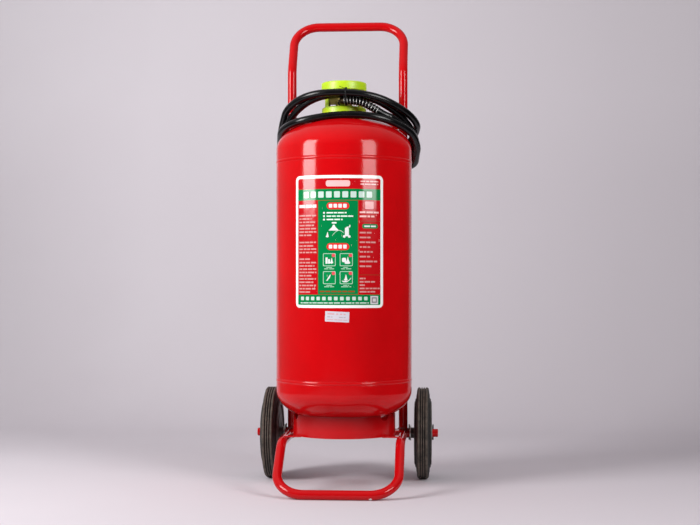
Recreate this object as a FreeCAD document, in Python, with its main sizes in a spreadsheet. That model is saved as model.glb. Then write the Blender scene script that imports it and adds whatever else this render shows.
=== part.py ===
import FreeCAD, Part
import math
import os
import Sketcher
from FreeCAD import Placement, Rotation, Vector

# Wheeled fire extinguisher, 45 litres, water based.
# The frame stands on two wheels and on the front bar of its foot loop.
# X points to the right seen from the front, Y to the back, Z up. Lengths are in millimetres.
# The origin is the middle of the footprint at floor level.

doc = FreeCAD.newDocument("wheeled_extinguisher")
sheet = doc.addObject("Spreadsheet::Sheet", "dims")

DIMENSIONS = {
    "vessel_radius": 162.5,
    "vessel_wall": 2.5,
    "vessel_y": 9.0,
    "lower_tangent": 228.0,
    "upper_tangent": 802.0,
    "lower_seam": 253.0,
    "upper_seam": 773.0,
    "seam_width": 7.0,
    "seam_height": 0.9,
    "neck_radius": 34.0,
    "neck_bore": 25.0,
    "neck_bottom": 868.0,
    "neck_top": 888.0,
    "ring_radius": 123.0,
    "ring_wall": 3.0,
    "ring_bottom": 122.5,
    "ring_top": 173.0,
    "notch_radius": 15.4,
    "notch_depth": 12.0,
    "dip_radius": 10.0,
    "dip_bore": 7.0,
    "dip_bottom": 172.0,
    "dip_top": 876.0,
    "tube_radius": 11.0,
    "tube_wall": 2.0,
    "frame_half": 138.5,
    "frame_y": 124.5,
    "bend_height": 1014.0,
    "grip_height": 1135.6,
    "grip_y": 199.0,
    "grip_corner": 61.0,
    "corner_foot": 1084.0,
    "lean_bend": 60.0,
    "foot_bend_y": -96.0,
    "foot_bar_y": -226.0,
    "foot_corner": 64.0,
    "foot_bend": 70.0,
    "lug_bottom": 121.4,
    "lug_thickness": 3.2,
    "strap_bottom": 866.0,
    "strap_top": 896.0,
    "strap_thickness": 5.0,
    "axle_radius": 10.0,
    "axle_height": 112.5,
    "axle_half": 225.0,
    "wheel_x": 188.0,
    "wheel_radius": 112.5,
    "hub_radius": 13.0,
    "hub_bore": 10.08,
    "hub_inner": 158.3,
    "hub_outer": 207.7,
    "rim_radius": 70.0,
    "rim_sheet": 2.0,
    "rim_flange": 78.0,
    "tyre_bead": 19.0,
    "washer_radius": 19.0,
    "washer_thickness": 3.0,
    "split_pin_radius": 1.5,
    "guard_radius": 53.0,
    "waist_radius": 46.0,
    "cap_radius": 54.0,
    "guard_wall": 2.5,
    "waist_wall": 3.0,
    "guard_bottom": 884.5,
    "guard_floor": 888.0,
    "guard_step": 903.0,
    "guard_top": 944.0,
    "cap_top": 964.0,
    "window_half": 35.0,
    "window_bottom": 904.5,
    "window_top": 940.0,
    "flange_bottom": 891.5,
    "flange_radius": 33.0,
    "valve_radius": 20.0,
    "valve_top": 922.0,
    "outlet_height": 912.5,
    "gauge_height": 916.0,
    "gauge_radius": 14.0,
    "pivot_x": -26.0,
    "pivot_height": 938.0,
    "pivot_radius": 3.0,
    "pin_x": 12.0,
    "pin_height": 932.0,
    "pin_radius": 1.95,
    "stem_radius": 3.97,
    "stem_top": 946.2,
    "hose_radius": 8.25,
    "elbow_radius": 8.0,
    "elbow_bore": 5.0,
    "gun_x": -20.0,
    "gun_y": 204.0,
    "gun_valve_height": 600.0,
    "barrel_radius": 9.0,
    "label_width": 217.0,
    "label_bottom": 427.0,
    "label_top": 731.0,
    "label_thickness": 0.4,
    "sticker_width": 57.0,
    "sticker_bottom": 394.5,
    "sticker_top": 419.5,
    "hook_height": 758.7,
    "hook_radius": 4.0,
    "hook_heel_y": 166.0,
    "hook_tip": 846.0,
    "guard_wire": 0.9,
    "guard_coil": 9.45,
    "spring_wire": 0.7,
    "spring_mean": 7.8,
    "spring_bottom": 877.0,
    "spring_top": 898.5,
    "tie_x": 8.2,
    "tie_width": 3.1,
    "tie_thickness": 1.2,
}

for row, (alias, number) in enumerate(DIMENSIONS.items(), start=1):
    sheet.set(f"A{row}", alias)
    sheet.set(f"B{row}", str(number))
    sheet.setAlias(f"B{row}", alias)
doc.recompute()

AXES = {
    "z": Rotation(),
    "x": Rotation(Vector(0, 1, 0), 90),
    "-x": Rotation(Vector(0, 1, 0), -90),
    "y": Rotation(Vector(1, 0, 0), -90),
    "-y": Rotation(Vector(1, 0, 0), 90),
    "-z": Rotation(Vector(1, 0, 0), 180),
}
ORIGIN = ("0", "0", "0")
VESSEL_AXIS = ("0", "vessel_y", "0")
nodes = []


def in_sheet(expression):
    """Write the sheet's name before each alias that an expression holds."""
    words = []
    word = ""
    for sign in expression + " ":
        if sign.isalnum() or sign in "_.":
            word += sign
            continue
        words.append("dims." + word if word in DIMENSIONS else word)
        words.append(sign)
        word = ""
    return "".join(words).strip()


def size(expression):
    """Value of an expression in the sheet's aliases."""
    return float(sheet.evalExpression(in_sheet(expression)))


def bind(item, name, expression):
    """Tie a property to the sheet."""
    item.setExpression(name, in_sheet(expression))


def place(item, at=ORIGIN, axis="z"):
    """Put an item's own origin at a bound point, with its own Z along an axis."""
    item.Placement = Placement(Vector(), AXES[axis])
    for coordinate, expression in zip("xyz", at):
        bind(item, "Placement.Base." + coordinate, expression)
    return item


def node(item, label):
    """Name a finished sub-part."""
    item.Label = label
    nodes.append(item)
    return item


def primitive(kind, name, at=ORIGIN, axis="z", **sizes):
    """One of the plain solids, with its sizes bound to the sheet."""
    item = doc.addObject("Part::" + kind, name)
    place(item, at, axis)
    for key, expression in sizes.items():
        bind(item, key, expression)
    return item


def rod(name, radius, start, length, axis="z"):
    """Round bar from a point along an axis."""
    return primitive("Cylinder", name, start, axis, Radius=radius, Height=length)


def block(name, corner, length, width, height):
    """Square block from its lowest corner."""
    return primitive("Box", name, corner, Length=length, Width=width, Height=height)


def fuse(name, *items):
    """Join solids into one."""
    item = doc.addObject("Part::MultiFuse", name)
    item.Shapes = list(items)
    return item


def cut(name, base, *tools):
    """Take the tools away from a solid."""
    item = doc.addObject("Part::Cut", name)
    item.Base = base
    item.Tool = tools[0] if len(tools) == 1 else fuse(name + "_tools", *tools)
    return item


def shared(name, *items):
    """Keep only what all the solids have in common."""
    item = doc.addObject("Part::MultiCommon", name)
    item.Shapes = list(items)
    return item


def group(name, *items):
    """Keep separate like pieces in one node."""
    item = doc.addObject("Part::Compound", name)
    item.Links = list(items)
    return item


def draw_outline(body, role, points, name):
    """Closed outline of straight lines whose corners are bound to the sheet."""
    sketch = body.newObject("Sketcher::SketchObject", name)
    plane = next(item for item in body.Origin.OriginFeatures if item.Role == role)
    sketch.AttachmentSupport = (plane, [""])
    sketch.MapMode = "FlatFace"
    corners = [Vector(size(across), size(along), 0) for across, along in points]
    for index, corner in enumerate(corners):
        sketch.addGeometry(Part.LineSegment(corner, corners[(index + 1) % len(corners)]), False)
    for index in range(len(corners)):
        sketch.addConstraint(Sketcher.Constraint("Coincident", index, 2, (index + 1) % len(corners), 1))
    for index, corner in enumerate(corners):
        for kind, value, expression, axis in (
            ("DistanceX", corner.x, points[index][0], -2),
            ("DistanceY", corner.y, points[index][1], -1),
        ):
            if abs(value) < 1e-9:
                sketch.addConstraint(Sketcher.Constraint("PointOnObject", index, 1, axis))
            else:
                number = sketch.addConstraint(Sketcher.Constraint(kind, -1, 1, index, 1, value))
                bind(sketch, f"Constraints[{number}]", expression)
    return sketch


def turned(name, points, at=ORIGIN, axis="z"):
    """Body turned about its own Z axis from an outline of radius and height."""
    body = doc.addObject("PartDesign::Body", name)
    outline = draw_outline(body, "XZ_Plane", points, name + "_outline")
    turn = body.newObject("PartDesign::Revolution", name + "_turn")
    turn.Profile = outline
    turn.ReferenceAxis = (outline, ["V_Axis"])
    turn.Angle = 360
    return place(body, at, axis)


def plate(name, role, points, thickness, at=ORIGIN):
    """Plate of an outline in one of the main planes, with that plane in its middle."""
    body = doc.addObject("PartDesign::Body", name)
    outline = draw_outline(body, role, points, name + "_outline")
    pad = body.newObject("PartDesign::Pad", name + "_pad")
    pad.Profile = outline
    pad.SideType = "Symmetric"
    bind(pad, "Length", thickness)
    return place(body, at)


def fillet_arc(before, corner, after, radius):
    """Arc of a radius that rounds a corner of a path, with its two ends."""
    back = (before - corner).normalize()
    ahead = (after - corner).normalize()
    half = back.getAngle(ahead) / 2
    start = corner + back * (radius / math.tan(half))
    end = corner + ahead * (radius / math.tan(half))
    centre = corner + (back + ahead).normalize() * (radius / math.sin(half))
    middle = centre + (corner - centre).normalize() * radius
    return start, middle, end


def bent_path(points, radii):
    """Straight runs joined by tangent arcs, one radius for each inner point."""
    edges = []
    last = points[0]
    for index, radius in enumerate(radii, start=1):
        start, middle, end = fillet_arc(points[index - 1], points[index], points[index + 1], radius)
        if (start - last).Length > 1e-6:
            edges.append(Part.LineSegment(last, start).toShape())
        edges.append(Part.Arc(start, middle, end).toShape())
        last = end
    if (points[-1] - last).Length > 1e-6:
        edges.append(Part.LineSegment(last, points[-1]).toShape())
    return Part.Wire(edges)


def bent_bar(name, path, radius, tangent):
    """Round bar along a path, its section bound to the sheet."""
    route = doc.addObject("Part::Feature", name + "_route")
    route.Shape = path
    section = doc.addObject("Part::Circle", name + "_section")
    bind(section, "Radius", radius)
    section.Placement = Placement(path.OrderedVertexes[0].Point, Rotation(Vector(0, 0, 1), tangent))
    bar = doc.addObject("Part::Sweep", name)
    bar.Sections = [section]
    bar.Spine = (route, [f"Edge{index + 1}" for index in range(len(path.Edges))])
    bar.Solid = True
    bar.Frenet = False
    return bar


def bent_tube(name, points, radii):
    """Frame tube with its wall, bent at each inner point of its path."""
    path = bent_path(points, radii)
    tangent = points[1] - points[0]
    outside = bent_bar(name + "_outside", path, "tube_radius", tangent)
    inside = bent_bar(name + "_inside", path, "tube_radius - tube_wall", tangent)
    return cut(name + "_blank", outside, inside)


# Pressure vessel: two pressed elliptical heads welded to a rolled shell
def vessel_head(name, tangent, seam, axis):
    """Head half as deep as its radius, with a short straight skirt down to the seam."""
    depth = f"abs({seam} - {tangent})"
    at = ("0", "vessel_y", tangent)
    skirt_axis = "-z" if axis == "z" else "z"
    dome = primitive("Ellipsoid", name + "_dome", at, axis, Radius1="vessel_radius / 2",
                     Radius2="vessel_radius", Radius3="vessel_radius", Angle1="0", Angle2="90")
    skirt = rod(name + "_skirt", "vessel_radius", at, depth, skirt_axis)
    hollow = primitive("Ellipsoid", name + "_hollow", at, axis, Radius1="vessel_radius / 2 - vessel_wall",
                       Radius2="vessel_radius - vessel_wall", Radius3="vessel_radius - vessel_wall",
                       Angle1="0", Angle2="90")
    inside = rod(name + "_inside", "vessel_radius - vessel_wall", at, depth, skirt_axis)
    return fuse(name + "_outside", dome, skirt), fuse(name + "_cavity", hollow, inside)


top_outside, top_cavity = vessel_head("top_head", "upper_tangent", "upper_seam", "z")
neck_hole = rod("neck_hole", "neck_radius", ("0", "vessel_y", "neck_bottom"), "neck_top - neck_bottom")
node(cut("top_head", top_outside, top_cavity, neck_hole), "top_head")
bottom_outside, bottom_cavity = vessel_head("bottom_head", "lower_tangent", "lower_seam", "-z")
node(cut("bottom_head", bottom_outside, bottom_cavity), "bottom_head")

shell_at = ("0", "vessel_y", "lower_seam")
shell_blank = rod("shell_blank", "vessel_radius", shell_at, "upper_seam - lower_seam")
shell_inside = rod("shell_inside", "vessel_radius - vessel_wall", shell_at, "upper_seam - lower_seam")
node(cut("cylinder_shell", shell_blank, shell_inside), "cylinder_shell")

SEAM_OUTLINE = [
    ("vessel_radius", "-seam_width / 2"),
    ("vessel_radius + seam_height * 0.6", "-seam_width * 0.4"),
    ("vessel_radius + seam_height", "-seam_width * 0.15"),
    ("vessel_radius + seam_height", "seam_width * 0.15"),
    ("vessel_radius + seam_height * 0.6", "seam_width * 0.4"),
    ("vessel_radius", "seam_width / 2"),
]
lower_weld = turned("lower_seam_weld", SEAM_OUTLINE, ("0", "vessel_y", "lower_seam"))
upper_weld = turned("upper_seam_weld", SEAM_OUTLINE, ("0", "vessel_y", "upper_seam"))
node(group("seam_welds", lower_weld, upper_weld), "seam_welds")

NECK_OUTLINE = [
    ("neck_bore", "neck_bottom"),
    ("neck_radius - 1.5", "neck_bottom"),
    ("neck_radius", "neck_bottom + 1.5"),
    ("neck_radius", "neck_top"),
    ("neck_bore", "neck_top"),
]
node(turned("neck_boss", NECK_OUTLINE, VESSEL_AXIS), "neck_boss")

# Base ring: rolled strip under the bottom head, with drain notches in its top edge and a shallow
# mark at the front of its bottom edge, where the strip's ends meet
ring_at = ("0", "vessel_y", "ring_bottom")
ring_blank = rod("ring_blank", "ring_radius", ring_at, "ring_top - ring_bottom")
ring_inside = rod("ring_inside", "ring_radius - ring_wall", ring_at, "ring_top - ring_bottom")
ring_cuts = [ring_inside]
for index, angle in enumerate((-154.5, -34.5, 85.5)):
    notch = rod(f"ring_notch_{index}", "notch_radius",
                ("0", "vessel_y", "ring_top - notch_depth + notch_radius"), "vessel_radius")
    notch.Placement = Placement(notch.Placement.Base, Rotation(Vector(0, 0, 1), angle) * AXES["x"])
    ring_cuts.append(notch)
ring_cuts.append(block("ring_mark", ("-5", "vessel_y - ring_radius - 1", "ring_bottom"), "1.6", "2.2", "4"))
node(cut("base_ring", ring_blank, *ring_cuts), "base_ring")

# Dip tube and its strainer, inside the vessel
DIP_OUTLINE = [
    ("dip_bore", "dip_bottom"),
    ("dip_radius", "dip_bottom"),
    ("dip_radius", "dip_top"),
    ("dip_bore", "dip_top"),
]
node(turned("dip_tube", DIP_OUTLINE, VESSEL_AXIS), "dip_tube")
strainer_cup = rod("strainer_cup", "dip_radius + 3", ("0", "vessel_y", "dip_bottom - 10"), "26")
strainer_inside = rod("strainer_inside", "dip_radius + 1.5", ("0", "vessel_y", "dip_bottom - 8.5"), "8.5")
strainer_socket = rod("strainer_socket", "dip_radius", ("0", "vessel_y", "dip_bottom"), "16")
strainer_slots = [
    block("strainer_slot_x", ("-20", "vessel_y - 1.5", "dip_bottom - 7"), "40", "3", "5"),
    block("strainer_slot_y", ("-1.5", "vessel_y - 20", "dip_bottom - 7"), "3", "40", "5"),
]
node(cut("dip_strainer", strainer_cup, strainer_inside, strainer_socket, *strainer_slots), "dip_strainer")

# Frame: one bent tube for the uprights and grip, one for the foot loop
half = size("frame_half")
frame_y = size("frame_y")
axle_height = size("axle_height")
upright_foot = axle_height - size("tube_radius")
grip_points = [
    Vector(half, frame_y, upright_foot),
    Vector(half, frame_y, size("bend_height")),
    Vector(half, size("grip_y"), size("grip_height")),
    Vector(-half, size("grip_y"), size("grip_height")),
    Vector(-half, frame_y, size("bend_height")),
    Vector(-half, frame_y, upright_foot),
]
grip_radii = [size("lean_bend"), size("grip_corner"), size("grip_corner"), size("lean_bend")]
axle_way = rod("axle_way", "axle_radius", ("-axle_half", "frame_y", "axle_height"), "axle_half * 2", "x")
handle_blank = bent_tube("handle_tube", grip_points, grip_radii)
handle_bored = cut("handle_bored", handle_blank, axle_way)

# The handle tube is stored as five lengths that meet end to end: two legs, two corners and the grip
length_boxes = {
    "leg": ("frame_half / 2", "0", "corner_foot", "frame_half"),
    "corner": ("frame_half - grip_corner", "corner_foot", "grip_height + 40", "grip_corner * 2"),
}
handle_lengths = []
for kind, (inner, low, high, reach) in length_boxes.items():
    for side, across in (("right", inner), ("left", f"-({inner}) - ({reach})")):
        name = f"handle_{kind}_{side}"
        space = block(name + "_space", (across, "0", low), reach, "300", f"{high} - ({low})")
        handle_lengths.append(shared(name, handle_bored, space))
grip_space = block("handle_grip_space", ("-frame_half + grip_corner", "0", "corner_foot"),
                   "(frame_half - grip_corner) * 2", "300", "200")
handle_lengths.append(shared("handle_grip", handle_bored, grip_space))
node(group("handle_tube", *handle_lengths), "handle_tube")

foot_z = size("tube_radius")
foot_points = [
    Vector(half, frame_y, axle_height),
    Vector(half, size("foot_bend_y"), axle_height),
    Vector(half, size("foot_bar_y"), foot_z),
    Vector(-half, size("foot_bar_y"), foot_z),
    Vector(-half, size("foot_bend_y"), axle_height),
    Vector(-half, frame_y, axle_height),
]
foot_radii = [size("foot_bend"), size("foot_corner"), size("foot_corner"), size("foot_bend")]
foot_blank = bent_tube("foot_tube", foot_points, foot_radii)
foot_copes = [
    rod("foot_cope_right", "tube_radius", ("frame_half", "frame_y", "axle_height - 2 * tube_radius"),
        "tube_radius * 4"),
    rod("foot_cope_left", "tube_radius", ("-frame_half", "frame_y", "axle_height - 2 * tube_radius"),
        "tube_radius * 4"),
    rod("foot_axle_way", "axle_radius", ("-axle_half", "frame_y", "axle_height"), "axle_half * 2", "x"),
]
node(cut("foot_tube", foot_blank, *foot_copes), "foot_tube")

# Cross strap between the uprights, and the stay that holds the vessel's top to it
strap_blank = block("strap_blank", ("-frame_half + 6", "frame_y - strap_thickness / 2", "strap_bottom"),
                    "frame_half * 2 - 12", "strap_thickness", "strap_top - strap_bottom")
strap_copes = [
    rod("strap_cope_right", "tube_radius", ("frame_half", "frame_y", "strap_bottom - 2"), "40"),
    rod("strap_cope_left", "tube_radius", ("-frame_half", "frame_y", "strap_bottom - 2"), "40"),
]
node(cut("rear_strap", strap_blank, *strap_copes), "rear_strap")
stay_blank = block("stay_blank", ("-20", "vessel_y + 70", "strap_bottom"), "40",
                   "frame_y - strap_thickness / 2 - vessel_y - 70", "6")
stay_head = primitive("Ellipsoid", "stay_head", ("0", "vessel_y", "upper_tangent"), "z",
                      Radius1="vessel_radius / 2", Radius2="vessel_radius", Radius3="vessel_radius",
                      Angle1="0", Angle2="90")
node(cut("head_stay", stay_blank, stay_head), "head_stay")

# Lugs: flat plates laid from the foot tubes to the base ring
LUG_LENGTH = "24"
lugs = []
for side, sign in (("right", 1), ("left", -1)):
    for place_name, offset in (("front", "vessel_y - 78"), ("back", "vessel_y + 54")):
        name = f"lug_{side}_{place_name}"
        corner = "93" if sign > 0 else "-frame_half + 2"
        blank = block(name + "_blank", (corner, offset, "lug_bottom"), "frame_half - 95", LUG_LENGTH,
                      "lug_thickness")
        ring_space = rod(name + "_ring", "ring_radius", ("0", "vessel_y", "axle_height"), "60")
        tube_space = rod(name + "_tube", "tube_radius",
                         (f"{sign} * frame_half", "-80", "axle_height"), "180", "y")
        lugs.append(cut(name, blank, ring_space, tube_space))
node(group("ring_lugs", *lugs), "ring_lugs")

# Weld beads where the foot tubes meet the uprights, and round the axle beside each upright
FOOT_BEAD = [
    ("tube_radius", "0"),
    ("tube_radius + 3.5", "0"),
    ("tube_radius + 2", "3"),
    ("tube_radius", "5"),
]
AXLE_BEAD = [("axle_radius", "0"), ("axle_radius + 3", "0"), ("axle_radius", "2")]
beads = []
for side, sign in (("right", 1), ("left", -1)):
    beads.append(turned(f"foot_bead_{side}", FOOT_BEAD,
                        (f"{sign} * frame_half", "frame_y - tube_radius", "axle_height"), "-y"))
    beads.append(turned(f"axle_bead_outer_{side}", AXLE_BEAD,
                        (f"{sign} * (frame_half + tube_radius)", "frame_y", "axle_height"),
                        "x" if sign > 0 else "-x"))
    beads.append(turned(f"axle_bead_inner_{side}", AXLE_BEAD,
                        (f"{sign} * (frame_half - tube_radius)", "frame_y", "axle_height"),
                        "-x" if sign > 0 else "x"))
node(group("frame_welds", *beads), "frame_welds")

# Hose hooks: bent rods welded to the back of the uprights
hooks = []
for side, sign in (("right", 1), ("left", -1)):
    start = Vector(sign * half, frame_y + size("tube_radius") - 1, size("hook_height"))
    heel = Vector(sign * half, size("hook_heel_y"), size("hook_height"))
    tip = Vector(sign * half, size("hook_heel_y"), size("hook_tip"))
    bar = bent_bar(f"hook_{side}_bar", bent_path([start, heel, tip], [10]), "hook_radius", Vector(0, 1, 0))
    upright = rod(f"hook_{side}_upright", "tube_radius", (f"{sign} * frame_half", "frame_y", "600"), "300")
    hooks.append(cut(f"hook_{side}", bar, upright))
node(group("hose_hooks", *hooks), "hose_hooks")

# Axle and what keeps the wheels on it
AXLE_OUTLINE = [
    ("0", "0"),
    ("axle_radius - 1.5", "0"),
    ("axle_radius", "1.5"),
    ("axle_radius", "axle_half * 2 - 1.5"),
    ("axle_radius - 1.5", "axle_half * 2"),
    ("0", "axle_half * 2"),
]
axle_blank = turned("axle_blank", AXLE_OUTLINE, ("-axle_half", "frame_y", "axle_height"), "x")
INNER_PIN_X = "hub_inner - washer_thickness - 0.3 - split_pin_radius - 0.1"
OUTER_PIN_X = "hub_outer + washer_thickness + 0.3 + split_pin_radius + 0.1"
pin_holes = []
pins = []
washers = []
for side, sign in (("right", 1), ("left", -1)):
    for row, across in (("inner", INNER_PIN_X), ("outer", OUTER_PIN_X)):
        name = f"{row}_{side}"
        along = f"{sign} * ({across})"
        hole_start = (along, "frame_y", "axle_height - 12")
        pin_holes.append(rod(f"pin_hole_{name}", "split_pin_radius", hole_start, "24"))
        shank = rod(f"pin_shank_{name}", "split_pin_radius", (along, "frame_y", "axle_height - 17"), "32")
        eye = primitive("Torus", f"pin_eye_{name}", (along, "frame_y", "axle_height + 17.5"), "x",
                        Radius1="3", Radius2="1.3")
        pins.append(fuse(f"split_pin_{name}", shank, eye))
    for row, across in (("inner", "hub_inner - washer_thickness - 0.3"), ("outer", "hub_outer + 0.3")):
        name = f"washer_{row}_{side}"
        start = (f"{sign} * ({across})", "frame_y", "axle_height")
        axis = "x" if sign > 0 else "-x"
        washers.append(cut(name, rod(name + "_disc", "washer_radius", start, "washer_thickness", axis),
                           rod(name + "_hole", "axle_radius", start, "washer_thickness", axis)))
node(cut("axle_rod", axle_blank, *pin_holes), "axle_rod")
node(group("split_pins", *pins), "split_pins")
node(group("axle_washers", *washers), "axle_washers")

# Wheels: solid tyre on a rim of two pressed halves, with a plain hub tube
GROOVES = (-5.5, 0.0, 5.5)
GROOVE_DEPTH = 1.8


def tyre_outline():
    """Half of the tyre's section from the bead out, the grooved crown, then the other half."""
    side = [
        ("rim_radius", "tyre_bead"),
        ("rim_radius + 14", "tyre_bead"),
        ("rim_radius + 16", "tyre_bead - 2.7"),
        ("wheel_radius - 8", "tyre_bead - 4.2"),
        ("wheel_radius - 2.5", "tyre_bead - 5.6"),
        ("wheel_radius", "tyre_bead - 8"),
    ]
    near = [(radius, "-(" + across + ")") for radius, across in side]
    crown = []
    for middle in GROOVES:
        crown += [
            ("wheel_radius", str(middle - 1.2)),
            (f"wheel_radius - {GROOVE_DEPTH}", str(middle - 0.8)),
            (f"wheel_radius - {GROOVE_DEPTH}", str(middle + 0.8)),
            ("wheel_radius", str(middle + 1.2)),
        ]
    return near + crown + side[::-1]


RIM_OUTLINE = [
    ("hub_radius", "16"),
    ("29", "16"),
    ("32", "18"),
    ("43", "18"),
    ("46", "16"),
    ("rim_radius - rim_sheet", "16"),
    ("rim_radius - rim_sheet", "0.2"),
    ("rim_radius", "0.2"),
    ("rim_radius", "tyre_bead"),
    ("rim_flange", "tyre_bead"),
    ("rim_flange", "tyre_bead + rim_sheet"),
    ("rim_radius - rim_sheet", "tyre_bead + rim_sheet"),
    ("rim_radius - rim_sheet", "18"),
    ("47", "18"),
    ("44", "20"),
    ("31", "20"),
    ("28", "18"),
    ("hub_radius", "18"),
]
HUB_OUTLINE = [
    ("hub_bore", "hub_inner"),
    ("hub_radius", "hub_inner"),
    ("hub_radius", "hub_outer"),
    ("hub_bore", "hub_outer"),
]
for side, sign in (("right", 1), ("left", -1)):
    axis = "x" if sign > 0 else "-x"
    other = "-x" if sign > 0 else "x"
    centre = (f"{sign} * wheel_x", "frame_y", "axle_height")
    node(turned(f"{side}_tyre", tyre_outline(), centre, axis), f"{side}_tyre")
    rim_out = turned(f"{side}_rim_outer", RIM_OUTLINE, centre, axis)
    rim_in = turned(f"{side}_rim_inner", RIM_OUTLINE, centre, other)
    node(group(f"{side}_rim", rim_out, rim_in), f"{side}_rim")
    node(turned(f"{side}_hub", HUB_OUTLINE, ("0", "frame_y", "axle_height"), axis), f"{side}_hub")

# Valve: brass body screwed into the neck, with a lever fork on top
VALVE_OUTLINE = [
    ("dip_radius", "dip_top - 14"),
    ("neck_bore", "dip_top - 14"),
    ("neck_bore", "flange_bottom"),
    ("flange_radius", "flange_bottom"),
    ("flange_radius", "flange_bottom + 5"),
    ("flange_radius - 1.5", "flange_bottom + 6.5"),
    ("valve_radius", "flange_bottom + 6.5"),
    ("valve_radius", "valve_top - 1.5"),
    ("valve_radius - 1.5", "valve_top"),
    ("stem_radius + 0.08", "valve_top"),
    ("stem_radius + 0.08", "outlet_height + 5"),
    ("6", "outlet_height + 5"),
    ("6", "904"),
    ("9", "904"),
    ("9", "dip_top"),
    ("dip_radius", "dip_top"),
]
valve_core = turned("valve_core", VALVE_OUTLINE, VESSEL_AXIS)
outlet_boss = rod("outlet_boss", "10", ("0", "vessel_y - 15", "outlet_height"), "12", "-y")
gauge_boss = rod("gauge_boss", "6", ("0", "vessel_y + 15", "gauge_height"), "9", "y")
CHEEK_OUTLINE = [
    ("-34", "valve_top - 4"),
    ("17", "valve_top - 4"),
    ("19", "valve_top"),
    ("19", "pin_height + 6"),
    ("pivot_x + 6", "pivot_height + 7"),
    ("pivot_x - 4", "pivot_height + 7"),
    ("-34", "pivot_height + 3"),
]
cheeks = [
    plate("cheek_front", "XZ_Plane", CHEEK_OUTLINE, "2.5", ("0", "vessel_y - 7.25", "0")),
    plate("cheek_back", "XZ_Plane", CHEEK_OUTLINE, "2.5", ("0", "vessel_y + 7.25", "0")),
]
fork_base = block("fork_base", ("-34", "vessel_y - 8.5", "valve_top - 8"), "30", "17", "6")
valve_solid = fuse("valve_solid", valve_core, outlet_boss, gauge_boss, fork_base, *cheeks)
stem_way = rod("stem_way", "6", ("0", "vessel_y", "904"), "outlet_height + 5 - 904")
gland_way = rod("gland_way", "stem_radius + 0.08", ("0", "vessel_y", "904"), "30")
outlet_way = rod("outlet_way", "elbow_bore", ("0", "vessel_y", "outlet_height"), "40", "-y")
gauge_way = rod("gauge_way", "2.5", ("0", "vessel_y", "gauge_height"), "40", "y")
pivot_way = rod("pivot_way", "pivot_radius", ("pivot_x", "vessel_y - 20", "pivot_height"), "40", "y")
pin_way = rod("pin_way", "pin_radius + 0.1", ("pin_x", "vessel_y - 20", "pin_height"), "40", "y")
valve_ways = [stem_way, gland_way, outlet_way, gauge_way, pivot_way, pin_way]
node(cut("valve_body", valve_solid, *valve_ways), "valve_body")

GASKET_OUTLINE = [
    ("neck_bore + 1", "flange_bottom - 1.5"),
    ("flange_radius", "flange_bottom - 1.5"),
    ("flange_radius", "flange_bottom"),
    ("neck_bore + 1", "flange_bottom"),
]
node(turned("valve_gasket", GASKET_OUTLINE, VESSEL_AXIS), "valve_gasket")

# Stem with its poppet below the seat and a domed top under the lever
STEM_OUTLINE = [
    ("0", "899.5"),
    ("8", "899.5"),
    ("8", "903.7"),
    ("stem_radius", "903.7"),
    ("stem_radius", "stem_top - stem_radius"),
    ("0", "stem_top - stem_radius"),
]
stem_shank = turned("stem_shank", STEM_OUTLINE, VESSEL_AXIS)
stem_dome = primitive("Sphere", "stem_dome", ("0", "vessel_y", "stem_top - stem_radius"),
                      Radius="stem_radius")
node(fuse("valve_stem", stem_shank, stem_dome), "valve_stem")

# Lever: pressed channel over the fork, slotted where the safety pin passes
lever_top = block("lever_top", ("-33", "vessel_y - 11", "pivot_height + 8.5"), "69", "22", "2")
LEVER_SIDE = [
    ("-33", "pivot_height - 6"),
    ("-28", "928"),
    ("17", "928"),
    ("24", "pivot_height + 4"),
    ("36", "pivot_height + 6"),
    ("36", "pivot_height + 9"),
    ("-33", "pivot_height + 9"),
]
webs = [
    plate("lever_web_front", "XZ_Plane", LEVER_SIDE, "2", ("0", "vessel_y - 10", "0")),
    plate("lever_web_back", "XZ_Plane", LEVER_SIDE, "2", ("0", "vessel_y + 10", "0")),
]
lever_solid = fuse("lever_solid", lever_top, *webs)
lever_pivot_way = rod("lever_pivot_way", "pivot_radius + 0.08",
                      ("pivot_x", "vessel_y - 20", "pivot_height"), "40", "y")
SLOT_OUTLINE = [
    ("pin_x - 2.6", "pin_height - 2.6"),
    ("pin_x + 2.6", "pin_height - 2.6"),
    ("pin_x + 3.6", "pin_height + 8.2"),
    ("pin_x - 2.6", "pin_height + 8.2"),
]
lever_slot = plate("lever_slot", "XZ_Plane", SLOT_OUTLINE, "40", VESSEL_AXIS)
node(cut("valve_lever", lever_solid, lever_pivot_way, lever_slot), "valve_lever")

PIVOT_PIN_OUTLINE = [
    ("0", "-13"),
    ("4.5", "-13"),
    ("4.5", "-11.4"),
    ("pivot_radius", "-11.4"),
    ("pivot_radius", "11.4"),
    ("4.5", "11.4"),
    ("4.5", "13"),
    ("0", "13"),
]
node(turned("lever_pivot_pin", PIVOT_PIN_OUTLINE, ("pivot_x", "vessel_y", "pivot_height"), "y"),
     "lever_pivot_pin")
pin_shank = rod("safety_pin_shank", "pin_radius", ("pin_x", "vessel_y - 14", "pin_height"), "29", "y")
pin_ring = primitive("Torus", "safety_pin_ring", ("pin_x", "vessel_y + 24", "pin_height"), "z",
                     Radius1="9", Radius2="1.2")
node(fuse("safety_pin", pin_shank, pin_ring), "safety_pin")

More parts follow.
